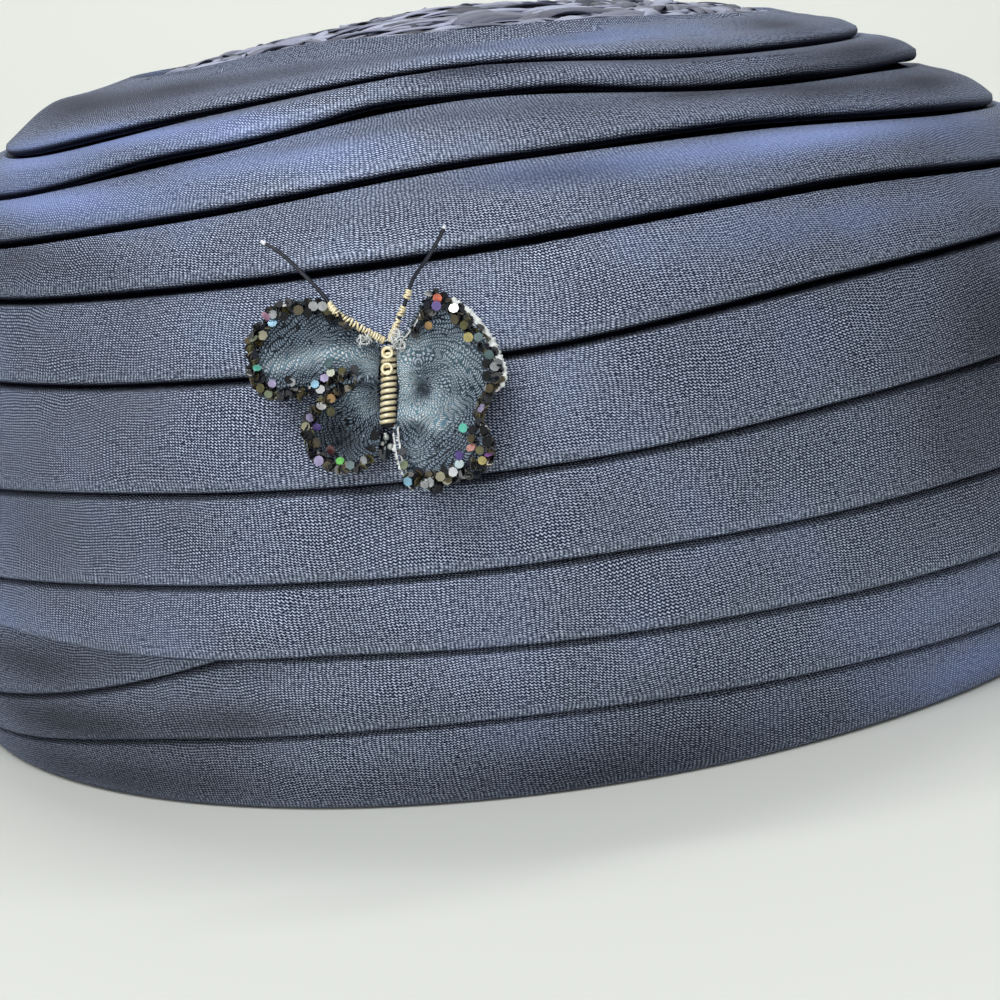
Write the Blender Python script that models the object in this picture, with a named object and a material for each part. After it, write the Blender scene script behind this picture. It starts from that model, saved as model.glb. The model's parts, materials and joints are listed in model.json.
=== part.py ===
"""Navy satin pillbox hat: lapped bias folds round a straw tip, with a small
gold-wired butterfly at the front left. Metres, +Z up, +X to the wearer's left,
the front towards -Y, the head opening centred on the origin."""

import math

import bmesh
import bpy
from mathutils import Vector

# Overall size of the hat, measured on the mean face of its folds
HALF_WIDTH = 0.101
HALF_DEPTH = 0.109
HEIGHT = 0.100
CROWN_LEAN = -0.003
FRONT_LIFT = 0.0018

# Cloth, straw and the room that pieces leave each other
CLOTH = 0.0015
PUFF = 0.0008
SHORT_CLOTH = 0.0012
STRAW = 0.0015
GAP = 0.0004
TIP_DOME = 0.0052
BRAID_RELIEF = 0.0005

# Butterfly
WING_SPAN = 0.0175
WING_CLOTH = 0.0008
WING_LIFT = 0.0035
BODY_LENGTH = 0.0108
BODY_RADIUS = 0.0011
TAIL_LENGTH = 0.0042
FEELER_RADIUS = 0.00022
FEELER_LENGTH = 0.0230

# Shares of the driving sizes: how much of the fold above hides a fold's top, how
# high a fold's fullness lies, where its face and tucked hem bend, how round its
# lower edge is, and where the tip, the short fold and the butterfly lie
PLEAT_LAP = 0.40
FULLEST = 0.7
BREAKS = (0.30, 0.75)
HEM_TUCK = (0.3, 0.6)
EDGE_ROLL = 0.8
TIP_LAP = 0.035
LEAN_START = 0.60
SHORT_DROP = 0.125
SHORT_LAP = 0.6
SHORT_FOLD_COVERS = "fold_09"
BUTTERFLY_AZIMUTH = math.radians(-9.2)
BUTTERFLY_SHARE = 0.481
BUTTERFLY_TURN = math.radians(-8.0)

# Facets
STATIONS = 44
SHORT_FIRST, SHORT_LAST = -15, -3
BODY_SIDES = 10
WING_RIM_POINTS = 18

# The crown's profile from hem to tip: height and reach as shares of HEIGHT and
# of the half width and depth, and how far the wearer's left shoulder sits low,
# as a share of the sideways distance
SECTIONS = (
    # rise, reach, drop
    (0.00, 0.965, 0.000),
    (0.18, 0.990, 0.000),
    (0.38, 1.000, 0.000),
    (0.54, 0.985, 0.010),
    (0.68, 0.935, 0.030),
    (0.78, 0.860, 0.046),
    (0.855, 0.760, 0.048),
    (0.912, 0.675, 0.042),
    (0.950, 0.595, 0.034),
    (0.970, 0.530, 0.030),
)

# Lower edge of each fold, as a share of the profile's length above the hem
FOLD_AZIMUTHS = (-180, -135, -90, -60, -30, 0, 30, 60, 90, 135)
FOLDS = (
    # name, rear, right rear, right, right front, near right, front, near left, left front, left, left rear
    ("fold_01", 0.86, 0.84, 0.80, 0.80, 0.872, 0.918, 0.892, 0.892, 0.888, 0.865),
    ("fold_02", 0.79, 0.77, 0.72, 0.722, 0.797, 0.860, 0.832, 0.826, 0.81, 0.79),
    ("fold_03", 0.70, 0.685, 0.645, 0.65, 0.689, 0.748, 0.757, 0.726, 0.705, 0.70),
    ("fold_04", 0.61, 0.60, 0.575, 0.583, 0.602, 0.629, 0.653, 0.63, 0.62, 0.61),
    ("fold_05", 0.51, 0.505, 0.49, 0.497, 0.502, 0.505, 0.536, 0.535, 0.525, 0.51),
    ("fold_06", 0.40, 0.395, 0.385, 0.38, 0.383, 0.381, 0.393, 0.394, 0.395, 0.40),
    ("fold_07", 0.29, 0.285, 0.278, 0.273, 0.282, 0.276, 0.268, 0.260, 0.27, 0.285),
    ("fold_08", 0.185, 0.19, 0.205, 0.22, 0.20, 0.185, 0.172, 0.155, 0.16, 0.175),
    ("fold_09", 0.085, 0.075, 0.055, 0.052, 0.091, 0.102, 0.083, 0.062, 0.065, 0.08),
    ("hem_fold", 0.0, 0.0, 0.0, 0.0, 0.0, 0.0, 0.0, 0.0, 0.0, 0.0),
)
FOLD_NAMES = [row[0] for row in FOLDS]
FOLD_EDGES = [row[1:] for row in FOLDS]
LAST_FOLD = len(FOLDS) - 1
COVERED_BY_SHORT = FOLD_NAMES.index(SHORT_FOLD_COVERS)

# Straw tip: rings from rim to middle, as shares of the rim's reach, and the
# braid's relief there as a share of BRAID_RELIEF
TIP_RINGS = (
    # reach, relief
    (0.92, 1.0),
    (0.80, 0.0),
    (0.67, 1.0),
    (0.53, 0.0),
    (0.38, 1.0),
    (0.22, 0.0),
)
TIP_UNDER_RINGS = (0.80, 0.53, 0.22)

# Wing outlines as shares of WING_SPAN, measured from the body's middle:
# across to the right, along towards the head
WINGS = {
    "wing_left_upper": (
        # across, along
        (-0.07, 0.30),
        (-0.36, 0.52),
        (-0.62, 0.60),
        (-0.88, 0.52),
        (-1.02, 0.22),
        (-0.95, -0.05),
        (-0.78, -0.10),
        (-0.52, 0.00),
        (-0.25, 0.08),
        (-0.09, 0.02),
    ),
    "wing_left_lower": (
        # across, along
        (-0.09, -0.05),
        (-0.28, -0.03),
        (-0.50, -0.14),
        (-0.59, -0.32),
        (-0.52, -0.53),
        (-0.33, -0.63),
        (-0.14, -0.58),
        (-0.08, -0.38),
    ),
    "wing_right": (
        # across, along
        (0.09, 0.26),
        (0.25, 0.48),
        (0.38, 0.64),
        (0.56, 0.55),
        (0.80, 0.30),
        (0.89, 0.06),
        (0.76, -0.22),
        (0.84, -0.48),
        (0.74, -0.63),
        (0.42, -0.78),
        (0.24, -0.74),
        (0.13, -0.50),
        (0.08, -0.10),
    ),
}
WING_RINGS = (0.75, 0.45)

# Wound wire body: radius as a share of BODY_RADIUS, evenly spaced along it
BODY_TURNS = 7
TURN_GROOVE = 0.82

# Feeler routes as shares of FEELER_LENGTH, from the head end of the body
FEELERS = {
    "antenna_left": (
        # across, along, out
        (-0.01, 0.01, 0.00),
        (-0.15, 0.13, 0.03),
        (-0.31, 0.28, 0.07),
        (-0.42, 0.44, 0.10),
        (-0.56, 0.60, 0.12),
        (-0.72, 0.68, 0.13),
    ),
    "antenna_right": (
        # across, along, out
        (0.01, 0.01, 0.00),
        (0.07, 0.16, 0.03),
        (0.11, 0.30, 0.06),
        (0.17, 0.44, 0.09),
        (0.25, 0.58, 0.11),
        (0.32, 0.71, 0.13),
    ),
}

# Colours in linear light
NAVY = (0.055, 0.066, 0.130)
STRAW_BLUE = (0.16, 0.18, 0.30)
GOLD = (0.60, 0.44, 0.18)
TEAL = (0.06, 0.10, 0.14)
DARK_DROP = (0.02, 0.025, 0.035)
FEELER_BLUE = (0.02, 0.03, 0.06)


def smooth_step(value):
    """0 below 0, 1 above 1, and a smooth rise between."""
    value = min(max(value, 0.0), 1.0)
    return value * value * (3.0 - 2.0 * value)


def curve_through(stations, values, at):
    """Value at a station on the smooth curve through neighbouring values."""
    last = len(stations) - 1
    i = 0
    while i < last - 1 and at > stations[i + 1]:
        i += 1
    before, after = max(i - 1, 0), min(i + 2, last)
    span = stations[i + 1] - stations[i]
    slope_in = (values[i + 1] - values[before]) / (stations[i + 1] - stations[before]) * span
    slope_out = (values[after] - values[i]) / (stations[after] - stations[i]) * span
    t = (at - stations[i]) / span
    t2, t3 = t * t, t * t * t
    return (
        (2 * t3 - 3 * t2 + 1) * values[i]
        + (t3 - 2 * t2 + t) * slope_in
        + (3 * t2 - 2 * t3) * values[i + 1]
        + (t3 - t2) * slope_out
    )


def ring_curve(values, azimuth):
    """The same, round the hat: values stand at FOLD_AZIMUTHS."""
    turns = [-360, 0, 360]
    stations = [a + turn for turn in turns for a in FOLD_AZIMUTHS]
    degrees = math.degrees(azimuth)
    degrees = (degrees + 180.0) % 360.0 - 180.0
    return curve_through(stations, list(values) * len(turns), degrees)


def profile_lengths():
    """Length of the profile from the hem up to each row of SECTIONS."""
    reached = [0.0]
    for (rise_a, reach_a, _), (rise_b, reach_b, _) in zip(SECTIONS, SECTIONS[1:]):
        step = math.hypot((rise_b - rise_a) * HEIGHT, (reach_b - reach_a) * HALF_WIDTH)
        reached.append(reached[-1] + step)
    return reached


PROFILE_LENGTH = profile_lengths()[-1]
PROFILE_SHARES = [length / PROFILE_LENGTH for length in profile_lengths()]


def crown_profile(share):
    """Rise, reach and drop at a share of the profile's length."""
    return [curve_through(PROFILE_SHARES, [row[c] for row in SECTIONS], share) for c in range(3)]


def form_point(azimuth, share):
    """Point on the mean face of the folds; azimuth 0 is the front."""
    rise, reach, drop = crown_profile(share)
    top = smooth_step((share - LEAN_START) / (1.0 - LEAN_START))
    x = HALF_WIDTH * reach * math.sin(azimuth) + CROWN_LEAN * top
    y = -HALF_DEPTH * reach * math.cos(azimuth)
    lift = FRONT_LIFT * top * max(math.cos(azimuth), 0.0) ** 3
    return Vector((x, y, HEIGHT * rise - drop * x + lift))


def form_frame(azimuth, share):
    """Directions round, up and out of the form at a point."""
    step = 0.01
    low, high = max(share - step, 0.0), min(share + step, 1.0)
    up = form_point(azimuth, high) - form_point(azimuth, low)
    across = form_point(azimuth + step, share) - form_point(azimuth - step, share)
    out = across.cross(up).normalized()
    return across.normalized(), up.normalized(), out


def drape_point(azimuth, share, offset):
    """Point at an offset from the form; level at the hem, so its edge lies flat."""
    out = form_frame(azimuth, share)[2]
    out.z *= smooth_step(share / FOLD_EDGES[COVERED_BY_SHORT][0])
    return form_point(azimuth, share) + out.normalized() * offset


# The mean face of the folds is the form, so the innermost cloth starts inside it
INNERMOST = -(1.5 * CLOTH + GAP)


def fold_edge(fold, azimuth):
    """Lower edge of a fold; above the first fold is the top of the profile."""
    return 1.0 if fold < 0 else ring_curve(FOLD_EDGES[fold], azimuth)


def fold_top(fold, azimuth):
    """Hidden upper edge of a fold, tucked under the fold above."""
    above = fold_edge(fold - 1, azimuth)
    if fold == 0:
        return above
    return above + PLEAT_LAP * (fold_edge(fold - 2, azimuth) - above)


def station_azimuth(station):
    return 2.0 * math.pi * station / STATIONS


def short_way(azimuth):
    """How far along the short fold an azimuth lies: 0 and 1 at its ends."""
    first, last = station_azimuth(SHORT_FIRST), station_azimuth(SHORT_LAST)
    azimuth = (azimuth + math.pi) % (2.0 * math.pi) - math.pi
    return (azimuth - first) / (last - first)


def short_room(azimuth):
    """1 over the short fold, falling to 0 within a station past each end."""
    way = short_way(azimuth)
    past = max(-way, way - 1.0, 0.0) * (SHORT_LAST - SHORT_FIRST)
    return max(1.0 - past, 0.0)


def short_edge(azimuth):
    """Lower edge of the short fold, level with fold_08's edge at both ends."""
    way = min(max(short_way(azimuth), 0.0), 1.0)
    return fold_edge(COVERED_BY_SHORT - 1, azimuth) - SHORT_DROP * math.sin(math.pi * way)


def cover_edge(fold, azimuth):
    """Lower edge of whatever lies over the top of a fold."""
    if fold == COVERED_BY_SHORT:
        return short_edge(azimuth)
    return fold_edge(fold - 1, azimuth)


def inner_offset(fold, azimuth, share):
    """Offset of a fold's inner face: it climbs over the fold below it."""
    climb = CLOTH + GAP
    if fold == COVERED_BY_SHORT - 1:
        climb += (SHORT_CLOTH + GAP) * short_room(azimuth)
    start, ramp_top = 0.0, fold_top(fold, azimuth)
    if fold == 0:
        start, ramp_top = STRAW + GAP, 1.0 - TIP_LAP
    ramp_end = 0.0 if fold == LAST_FOLD else fold_top(fold + 1, azimuth)
    if share < ramp_end:
        return climb + inner_offset(fold + 1, azimuth, share)
    way = min(max((ramp_top - share) / (ramp_top - ramp_end), 0.0), 1.0)
    return start + (climb - start) * way


def outer_offset(fold, azimuth, share):
    """Offset of a fold's outer face, which is fullest in its upper half."""
    cover, edge = cover_edge(fold, azimuth), fold_edge(fold, azimuth)
    way = min(max((cover - share) / (cover - edge), 0.0), 1.0)
    puff = PUFF * math.sin(math.pi * way ** FULLEST)
    return inner_offset(fold, azimuth, share) + CLOTH + puff


def new_object(name, mesh, colour, roughness, metallic):
    """A smooth-shaded object with its own finish."""
    material = bpy.data.materials.new(name + "_finish")
    material.use_nodes = True
    shader = material.node_tree.nodes["Principled BSDF"]
    shader.inputs["Base Color"].default_value = (*colour, 1.0)
    shader.inputs["Roughness"].default_value = roughness
    shader.inputs["Metallic"].default_value = metallic
    bm = bmesh.new()
    bm.from_mesh(mesh)
    bmesh.ops.remove_doubles(bm, verts=bm.verts, dist=1e-6)
    bmesh.ops.recalc_face_normals(bm, faces=bm.faces)
    if bm.calc_volume(signed=True) < 0.0:
        bmesh.ops.reverse_faces(bm, faces=bm.faces)
    bm.to_mesh(mesh)
    bm.free()
    mesh.shade_smooth()
    mesh.set_sharp_from_angle(angle=math.radians(40))
    mesh.materials.append(material)
    piece = bpy.data.objects.new(name, mesh)
    bpy.context.scene.collection.objects.link(piece)
    return piece


def loft(name, sections, closed):
    """Mesh through equal sections: a closed ring, or a strip with capped ends."""
    bm = bmesh.new()
    rows = [[bm.verts.new(point) for point in section] for section in sections]
    size = len(rows[0])
    pairs = list(zip(rows, rows[1:]))
    if closed:
        pairs.append((rows[-1], rows[0]))
    for row, following in pairs:
        for i in range(size):
            j = (i + 1) % size
            bm.faces.new((row[i], row[j], following[j], following[i]))
    if not closed:
        bm.faces.new(rows[0])
        bm.faces.new(list(reversed(rows[-1])))
    mesh = bpy.data.meshes.new(name)
    bm.to_mesh(mesh)
    bm.free()
    return mesh


def fold_section(fold, azimuth):
    """Cross-section of a fold: outer face down to its rolled edge, then back up."""
    top, cover, edge = fold_top(fold, azimuth), cover_edge(fold, azimuth), fold_edge(fold, azimuth)
    shown = cover - edge
    if fold == 0:
        cover = 1.0 - TIP_LAP
    outer = [top, cover] + [cover_edge(fold, azimuth) - way * shown for way in BREAKS]
    if fold == LAST_FOLD:
        inner = [HEM_TUCK[0] * top, HEM_TUCK[1] * top, top]
    else:
        below = fold_top(fold + 1, azimuth)
        inner = [below, 0.5 * (top + below), top]
    section = [drape_point(azimuth, s, INNERMOST + outer_offset(fold, azimuth, s)) for s in outer]
    face, back = outer_offset(fold, azimuth, edge), inner_offset(fold, azimuth, edge)
    roll = 0.0 if fold == LAST_FOLD else EDGE_ROLL * CLOTH
    section.append(drape_point(azimuth, edge + roll / PROFILE_LENGTH, INNERMOST + face))
    section.append(drape_point(azimuth, edge, INNERMOST + back))
    section += [drape_point(azimuth, s, INNERMOST + inner_offset(fold, azimuth, s)) for s in inner]
    return section


def make_fold(fold):
    sections = [fold_section(fold, station_azimuth(i)) for i in range(STATIONS)]
    name = FOLD_NAMES[fold]
    return new_object(name, loft(name, sections, closed=True), NAVY, 0.5, 0.0)


def short_section(azimuth):
    """Cross-section of the short fold, between fold_08 and fold_09."""
    edge = short_edge(azimuth)
    above = fold_edge(COVERED_BY_SHORT - 1, azimuth)
    top = above + SHORT_LAP * (fold_top(COVERED_BY_SHORT, azimuth) - above)
    hem_top = fold_top(COVERED_BY_SHORT + 1, azimuth)
    climb = INNERMOST + CLOTH + GAP
    shares = [top, above, 0.5 * (above + edge), edge]
    if edge < hem_top:
        shares[2] = hem_top

    def face(share, thickness):
        return drape_point(azimuth, share, climb + inner_offset(COVERED_BY_SHORT, azimuth, share) + thickness)

    return [face(s, SHORT_CLOTH) for s in shares] + [face(s, 0.0) for s in reversed(shares)]


def make_short_fold():
    sections = [short_section(station_azimuth(i)) for i in range(SHORT_FIRST, SHORT_LAST + 1)]
    return new_object("short_fold", loft("short_fold", sections, closed=False), NAVY, 0.5, 0.0)


def tip_ring(share, lift, drop):
    """Ring of the straw tip at a share of its rim's reach."""
    rim = [drape_point(station_azimuth(i), 1.0, INNERMOST + STRAW) for i in range(STATIONS)]
    middle = sum(rim, Vector()) / STATIONS
    dome = TIP_DOME * (1.0 - share * share)
    return [middle.lerp(point, share) + Vector((0, 0, dome + lift - drop)) for point in rim]


def lap_ring(share, offset):
    return [drape_point(station_azimuth(i), share, INNERMOST + offset) for i in range(STATIONS)]


def make_straw_tip():
    """Domed disc of plaited straw, whose lowest ring lies under the first fold."""
    bm = bmesh.new()
    top = [lap_ring(1.0 - TIP_LAP, STRAW), lap_ring(1.0, STRAW)]
    top += [tip_ring(reach, relief * BRAID_RELIEF, 0.0) for reach, relief in TIP_RINGS]
    under = [tip_ring(reach, 0.0, STRAW) for reach in reversed(TIP_UNDER_RINGS)]
    under += [lap_ring(1.0, 0.0), lap_ring(1.0 - TIP_LAP, 0.0)]
    rings = [[bm.verts.new(point) for point in ring] for ring in top + under]
    crown, hollow = len(top) - 1, len(top)
    pairs = [(i, i + 1) for i in range(len(rings) - 1) if i != crown]
    pairs.append((len(rings) - 1, 0))
    for a, b in pairs:
        for i in range(STATIONS):
            j = (i + 1) % STATIONS
            bm.faces.new((rings[a][i], rings[a][j], rings[b][j], rings[b][i]))
    for ring, drop in ((crown, 0.0), (hollow, STRAW)):
        pole = bm.verts.new(tip_ring(0.0, BRAID_RELIEF, drop)[0])
        for i in range(STATIONS):
            bm.faces.new((rings[ring][i], rings[ring][(i + 1) % STATIONS], pole))
    mesh = bpy.data.meshes.new("straw_tip")
    bm.to_mesh(mesh)
    bm.free()
    return new_object("straw_tip", mesh, STRAW_BLUE, 0.6, 0.0)


def drape_offset(azimuth, share):
    """Offset of the outermost cloth at a point of the form."""
    fold = 0
    while share < fold_edge(fold, azimuth):
        fold += 1
    return INNERMOST + outer_offset(fold, azimuth, share)


def butterfly_place():
    """Middle of the butterfly's body and its directions across, along and out."""
    around, up, out = form_frame(BUTTERFLY_AZIMUTH, BUTTERFLY_SHARE)
    across = around * math.cos(BUTTERFLY_TURN) + up * math.sin(BUTTERFLY_TURN)
    along = out.cross(across).normalized()
    base = form_point(BUTTERFLY_AZIMUTH, BUTTERFLY_SHARE)
    reach = 0.5 * BODY_LENGTH / PROFILE_LENGTH
    shares = [BUTTERFLY_SHARE + reach * k / 4 for k in range(-4, 5)]
    heights = []
    for share in shares:
        offset = drape_offset(BUTTERFLY_AZIMUTH, share)
        heights.append((drape_point(BUTTERFLY_AZIMUTH, share, offset) - base).dot(out))
    seat = max(heights) + GAP + BODY_RADIUS
    return base + out * seat, across, along, out


def turned(name, place, stations, sides, colour, roughness, metallic):
    """Closed body turned about a line: stations are (distance along, radius)."""
    middle, across, along, out = place
    bm = bmesh.new()
    rings = []
    for distance, radius in stations[1:-1]:
        ring = []
        for i in range(sides):
            turn = 2.0 * math.pi * i / sides
            spoke = across * math.cos(turn) + out * math.sin(turn)
            ring.append(bm.verts.new(middle + along * distance + spoke * radius))
        rings.append(ring)
    for a, b in zip(rings, rings[1:]):
        for i in range(sides):
            j = (i + 1) % sides
            bm.faces.new((a[i], a[j], b[j], b[i]))
    for ring, (distance, _) in ((rings[0], stations[0]), (rings[-1], stations[-1])):
        pole = bm.verts.new(middle + along * distance)
        for i in range(sides):
            bm.faces.new((ring[i], ring[(i + 1) % sides], pole))
    mesh = bpy.data.meshes.new(name)
    bm.to_mesh(mesh)
    bm.free()
    return new_object(name, mesh, colour, roughness, metallic)


def make_body(place):
    """Gold wire wound round the body, as a ridged spindle."""
    stations = [(-0.5 * BODY_LENGTH, 0.0)]
    for turn in range(2 * BODY_TURNS + 1):
        way = turn / (2 * BODY_TURNS)
        ridge = 1.0 if turn % 2 else TURN_GROOVE
        waist = 1.0 - 0.25 * way
        stations.append(((0.02 + 0.96 * way - 0.5) * BODY_LENGTH, BODY_RADIUS * ridge * waist))
    stations.append((0.5 * BODY_LENGTH, 0.0))
    return turned("butterfly_body", place, stations, BODY_SIDES, GOLD, 0.3, 1.0)


def make_tail(place):
    """Dark drop that ends the body."""
    head = -0.5 * BODY_LENGTH - GAP
    drop = ((0.0, 0.0), (0.08, 0.55), (0.3, 0.8), (0.6, 0.85), (0.88, 0.5), (1.0, 0.0))
    stations = [(head - way * TAIL_LENGTH, share * BODY_RADIUS) for way, share in drop]
    return turned("butterfly_tail", place, stations, BODY_SIDES, DARK_DROP, 0.15, 0.0)


def outline_points(rows, count):
    """Points at even steps along the smooth closed curve through the rows."""
    size = len(rows)
    stations = list(range(-2, size + 3))
    points = []
    for k in range(count):
        at = size * k / count
        point = [curve_through(stations, [rows[s % size][axis] for s in stations], at) for axis in (0, 1)]
        points.append(point)
    return points


def make_wing(name, place):
    """Cupped satin wing: its rim stands off the hat, its root lies by the body."""
    middle, across, along, out = place
    rows = WINGS[name]
    side = math.copysign(1.0, rows[0][0])
    root = (side * (BODY_RADIUS + GAP) / WING_SPAN, 0.5 * (rows[0][1] + rows[-1][1]))
    rim = outline_points(rows, WING_RIM_POINTS)

    def place_point(x, y, face):
        reach = math.hypot(x - root[0], y - root[1])
        height = WING_LIFT * reach * (2.0 - reach) + face * 0.5 * WING_CLOTH
        x = side * max(side * x, side * root[0])
        return middle + (across * x + along * y) * WING_SPAN + out * height

    bm = bmesh.new()
    faces = {}
    for face in (1, -1):
        rings = [[bm.verts.new(place_point(x, y, face)) for x, y in rim]]
        for share in WING_RINGS:
            ring = []
            for x, y in rim:
                inner = [root[0] + (x - root[0]) * share, root[1] + (y - root[1]) * share]
                ring.append(bm.verts.new(place_point(*inner, face)))
            rings.append(ring)
        faces[face] = rings
        for a, b in zip(rings, rings[1:]):
            for i in range(WING_RIM_POINTS):
                j = (i + 1) % WING_RIM_POINTS
                bm.faces.new((a[i], a[j], b[j], b[i]))
        centre = [sum(v[axis] for v in rim) / len(rim) for axis in (0, 1)]
        inner = [root[axis] + (centre[axis] - root[axis]) * WING_RINGS[-1] * 0.5 for axis in (0, 1)]
        pole = bm.verts.new(place_point(*inner, face))
        for i in range(WING_RIM_POINTS):
            bm.faces.new((rings[-1][i], rings[-1][(i + 1) % WING_RIM_POINTS], pole))
    for i in range(WING_RIM_POINTS):
        j = (i + 1) % WING_RIM_POINTS
        bm.faces.new((faces[1][0][i], faces[1][0][j], faces[-1][0][j], faces[-1][0][i]))
    mesh = bpy.data.meshes.new(name)
    bm.to_mesh(mesh)
    bm.free()
    return new_object(name, mesh, TEAL, 0.45, 0.0)


def make_feeler(name, place):
    """Thin bent wire, starting just past the body's head end."""
    middle, across, along, out = place
    head = middle + along * (0.5 * BODY_LENGTH + GAP)
    curve = bpy.data.curves.new(name + "_route", "CURVE")
    curve.dimensions = "3D"
    spline = curve.splines.new("POLY")
    rows = FEELERS[name]
    spline.points.add(len(rows) - 1)
    for point, (x, y, z) in zip(spline.points, rows):
        point.co = (*(head + (across * x + along * y + out * z) * FEELER_LENGTH), 1.0)
    curve.bevel_depth = FEELER_RADIUS
    curve.bevel_resolution = 1
    curve.use_fill_caps = True
    route = bpy.data.objects.new(name + "_route", curve)
    bpy.context.scene.collection.objects.link(route)
    depsgraph = bpy.context.evaluated_depsgraph_get()
    mesh = bpy.data.meshes.new_from_object(route.evaluated_get(depsgraph))
    bpy.data.objects.remove(route)
    mesh.name = name
    return new_object(name, mesh, FEELER_BLUE, 0.4, 0.0)


for leftover in list(bpy.data.objects):
    bpy.data.objects.remove(leftover)

make_straw_tip()
for number in range(len(FOLDS)):
    make_fold(number)
make_short_fold()
butterfly = butterfly_place()
make_body(butterfly)
make_tail(butterfly)
for wing in WINGS:
    make_wing(wing, butterfly)
for feeler in FEELERS:
    make_feeler(feeler, butterfly)
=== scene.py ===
"""Looks of a navy satin pillbox hat: lapped bias folds round a straw tip, with a
small gold-wired butterfly at the front. Metres, +Z up, the front towards -Y, and
the wearer's left towards +X."""

import json
import math

import bmesh
import bpy
import numpy as np
from mathutils import Euler, Matrix, Vector

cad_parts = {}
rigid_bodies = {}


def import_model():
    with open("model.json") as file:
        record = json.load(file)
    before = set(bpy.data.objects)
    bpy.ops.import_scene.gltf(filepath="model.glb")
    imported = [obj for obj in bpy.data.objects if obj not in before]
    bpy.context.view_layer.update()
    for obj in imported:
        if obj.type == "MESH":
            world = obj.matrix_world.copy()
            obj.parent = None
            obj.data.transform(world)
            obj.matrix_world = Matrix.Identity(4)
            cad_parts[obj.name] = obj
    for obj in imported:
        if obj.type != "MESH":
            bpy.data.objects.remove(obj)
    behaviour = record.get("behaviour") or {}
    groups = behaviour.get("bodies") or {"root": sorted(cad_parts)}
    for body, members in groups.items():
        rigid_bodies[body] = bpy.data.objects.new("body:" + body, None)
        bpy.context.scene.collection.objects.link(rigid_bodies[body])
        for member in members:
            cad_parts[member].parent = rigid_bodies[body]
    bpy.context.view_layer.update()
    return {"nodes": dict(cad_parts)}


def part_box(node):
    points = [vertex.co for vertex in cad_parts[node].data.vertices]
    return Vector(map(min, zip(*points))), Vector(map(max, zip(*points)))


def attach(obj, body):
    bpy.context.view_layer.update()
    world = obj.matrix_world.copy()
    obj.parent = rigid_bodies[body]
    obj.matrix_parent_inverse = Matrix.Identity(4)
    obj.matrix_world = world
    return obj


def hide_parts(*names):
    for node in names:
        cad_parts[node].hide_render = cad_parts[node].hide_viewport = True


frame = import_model()

# The camera stands in front, a little above the crown and very close, so that the
# sides of the view cut the hat off. It is rolled as a hand-held one is, and the
# hem climbs to the right.
CAMERA_BACK = 0.441
CAMERA_HEIGHT = 0.111
CAMERA_PITCH = math.radians(11.75)
CAMERA_ROLL = math.radians(7.9)
CAMERA_YAW = math.radians(-0.7)
CAMERA_LENS = 93.6

forward = Vector((
    math.sin(CAMERA_YAW) * math.cos(CAMERA_PITCH),
    math.cos(CAMERA_YAW) * math.cos(CAMERA_PITCH),
    -math.sin(CAMERA_PITCH),
))
level_right = Vector((math.cos(CAMERA_YAW), -math.sin(CAMERA_YAW), 0.0))
level_up = level_right.cross(forward)
camera_right = level_right * math.cos(CAMERA_ROLL) - level_up * math.sin(CAMERA_ROLL)
camera_up = level_right * math.sin(CAMERA_ROLL) + level_up * math.cos(CAMERA_ROLL)
camera_data = bpy.data.cameras.new("camera")
camera_data.sensor_width = 36.0
camera_data.lens = CAMERA_LENS
camera_data.clip_start = 0.01
camera = bpy.data.objects.new("camera", camera_data)
camera.matrix_world = (
    Matrix.Translation((0.0, -CAMERA_BACK, CAMERA_HEIGHT))
    @ Matrix((camera_right, camera_up, -forward)).transposed().to_4x4()
)
bpy.context.scene.collection.objects.link(camera)
bpy.context.scene.camera = camera

# Ten lapped folds make the crown. Each is a bias strip of navy satin turned double,
# pulled round the block and sewn on so that its turned edge covers the top of the
# next one. Its weave, drag lines and lifted stretches come from that pull.
HALF_WIDTH, HALF_DEPTH, HEIGHT = 0.101, 0.109, 0.100
CROWN_LEAN, FRONT_LIFT, LEAN_START = -0.003, 0.0018, 0.60
CLOTH, GAP, STRAW = 0.0015, 0.0004, 0.0015
BELLY, LOW_BELLY, FULLEST = (0.0006, 0.0011, 0.0011, 0.0008), 0.0002, 1.4
FACE_RISE, RISE_FROM, RISE_OVER, EDGE_TURN = 0.0011, 0.00035, 0.0008, 0.0005
PLEAT_LAP, TIP_LAP, TIP_COVER = 0.40, 0.035, 0.034
INNERMOST = -(1.5 * CLOTH + GAP)
HIDDEN_ROWS, RISE_ROWS, FACE_ROWS, ROLL_ROWS, INNER_ROWS = 3, 6, 24, 6, 5
COLUMNS_ROUND = 640
UPPER_FOLDS, DRAG_LINES, DRAG_SEED, UPPER_DRAG, LOWER_DRAG = 4, 46, 40, 0.9, 0.3
EDGE_WANDER, TUCK_WIDTH, RIB_LINE, RIB_SPREAD = 0.00012, 0.05, 0.0009, 0.0005
BACK_SHEEN, SEEN_TO = 0.22, 75.0

# rise and reach as shares of the height and half sizes, and the shoulder's drop
CROWN = np.array((
    (0.00, 0.965, 0.000),
    (0.18, 0.990, 0.000),
    (0.38, 1.000, 0.000),
    (0.54, 0.985, 0.010),
    (0.68, 0.935, 0.030),
    (0.78, 0.860, 0.046),
    (0.855, 0.760, 0.048),
    (0.912, 0.675, 0.042),
    (0.950, 0.595, 0.034),
    (0.970, 0.530, 0.030),
))
steps = np.diff(CROWN[:, :2], axis=0) * (HEIGHT, HALF_WIDTH)
reached = np.concatenate(([0.0], np.cumsum(np.hypot(*steps.T))))
CROWN_LENGTH = reached[-1]
CROWN_SHARES = reached / CROWN_LENGTH

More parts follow.
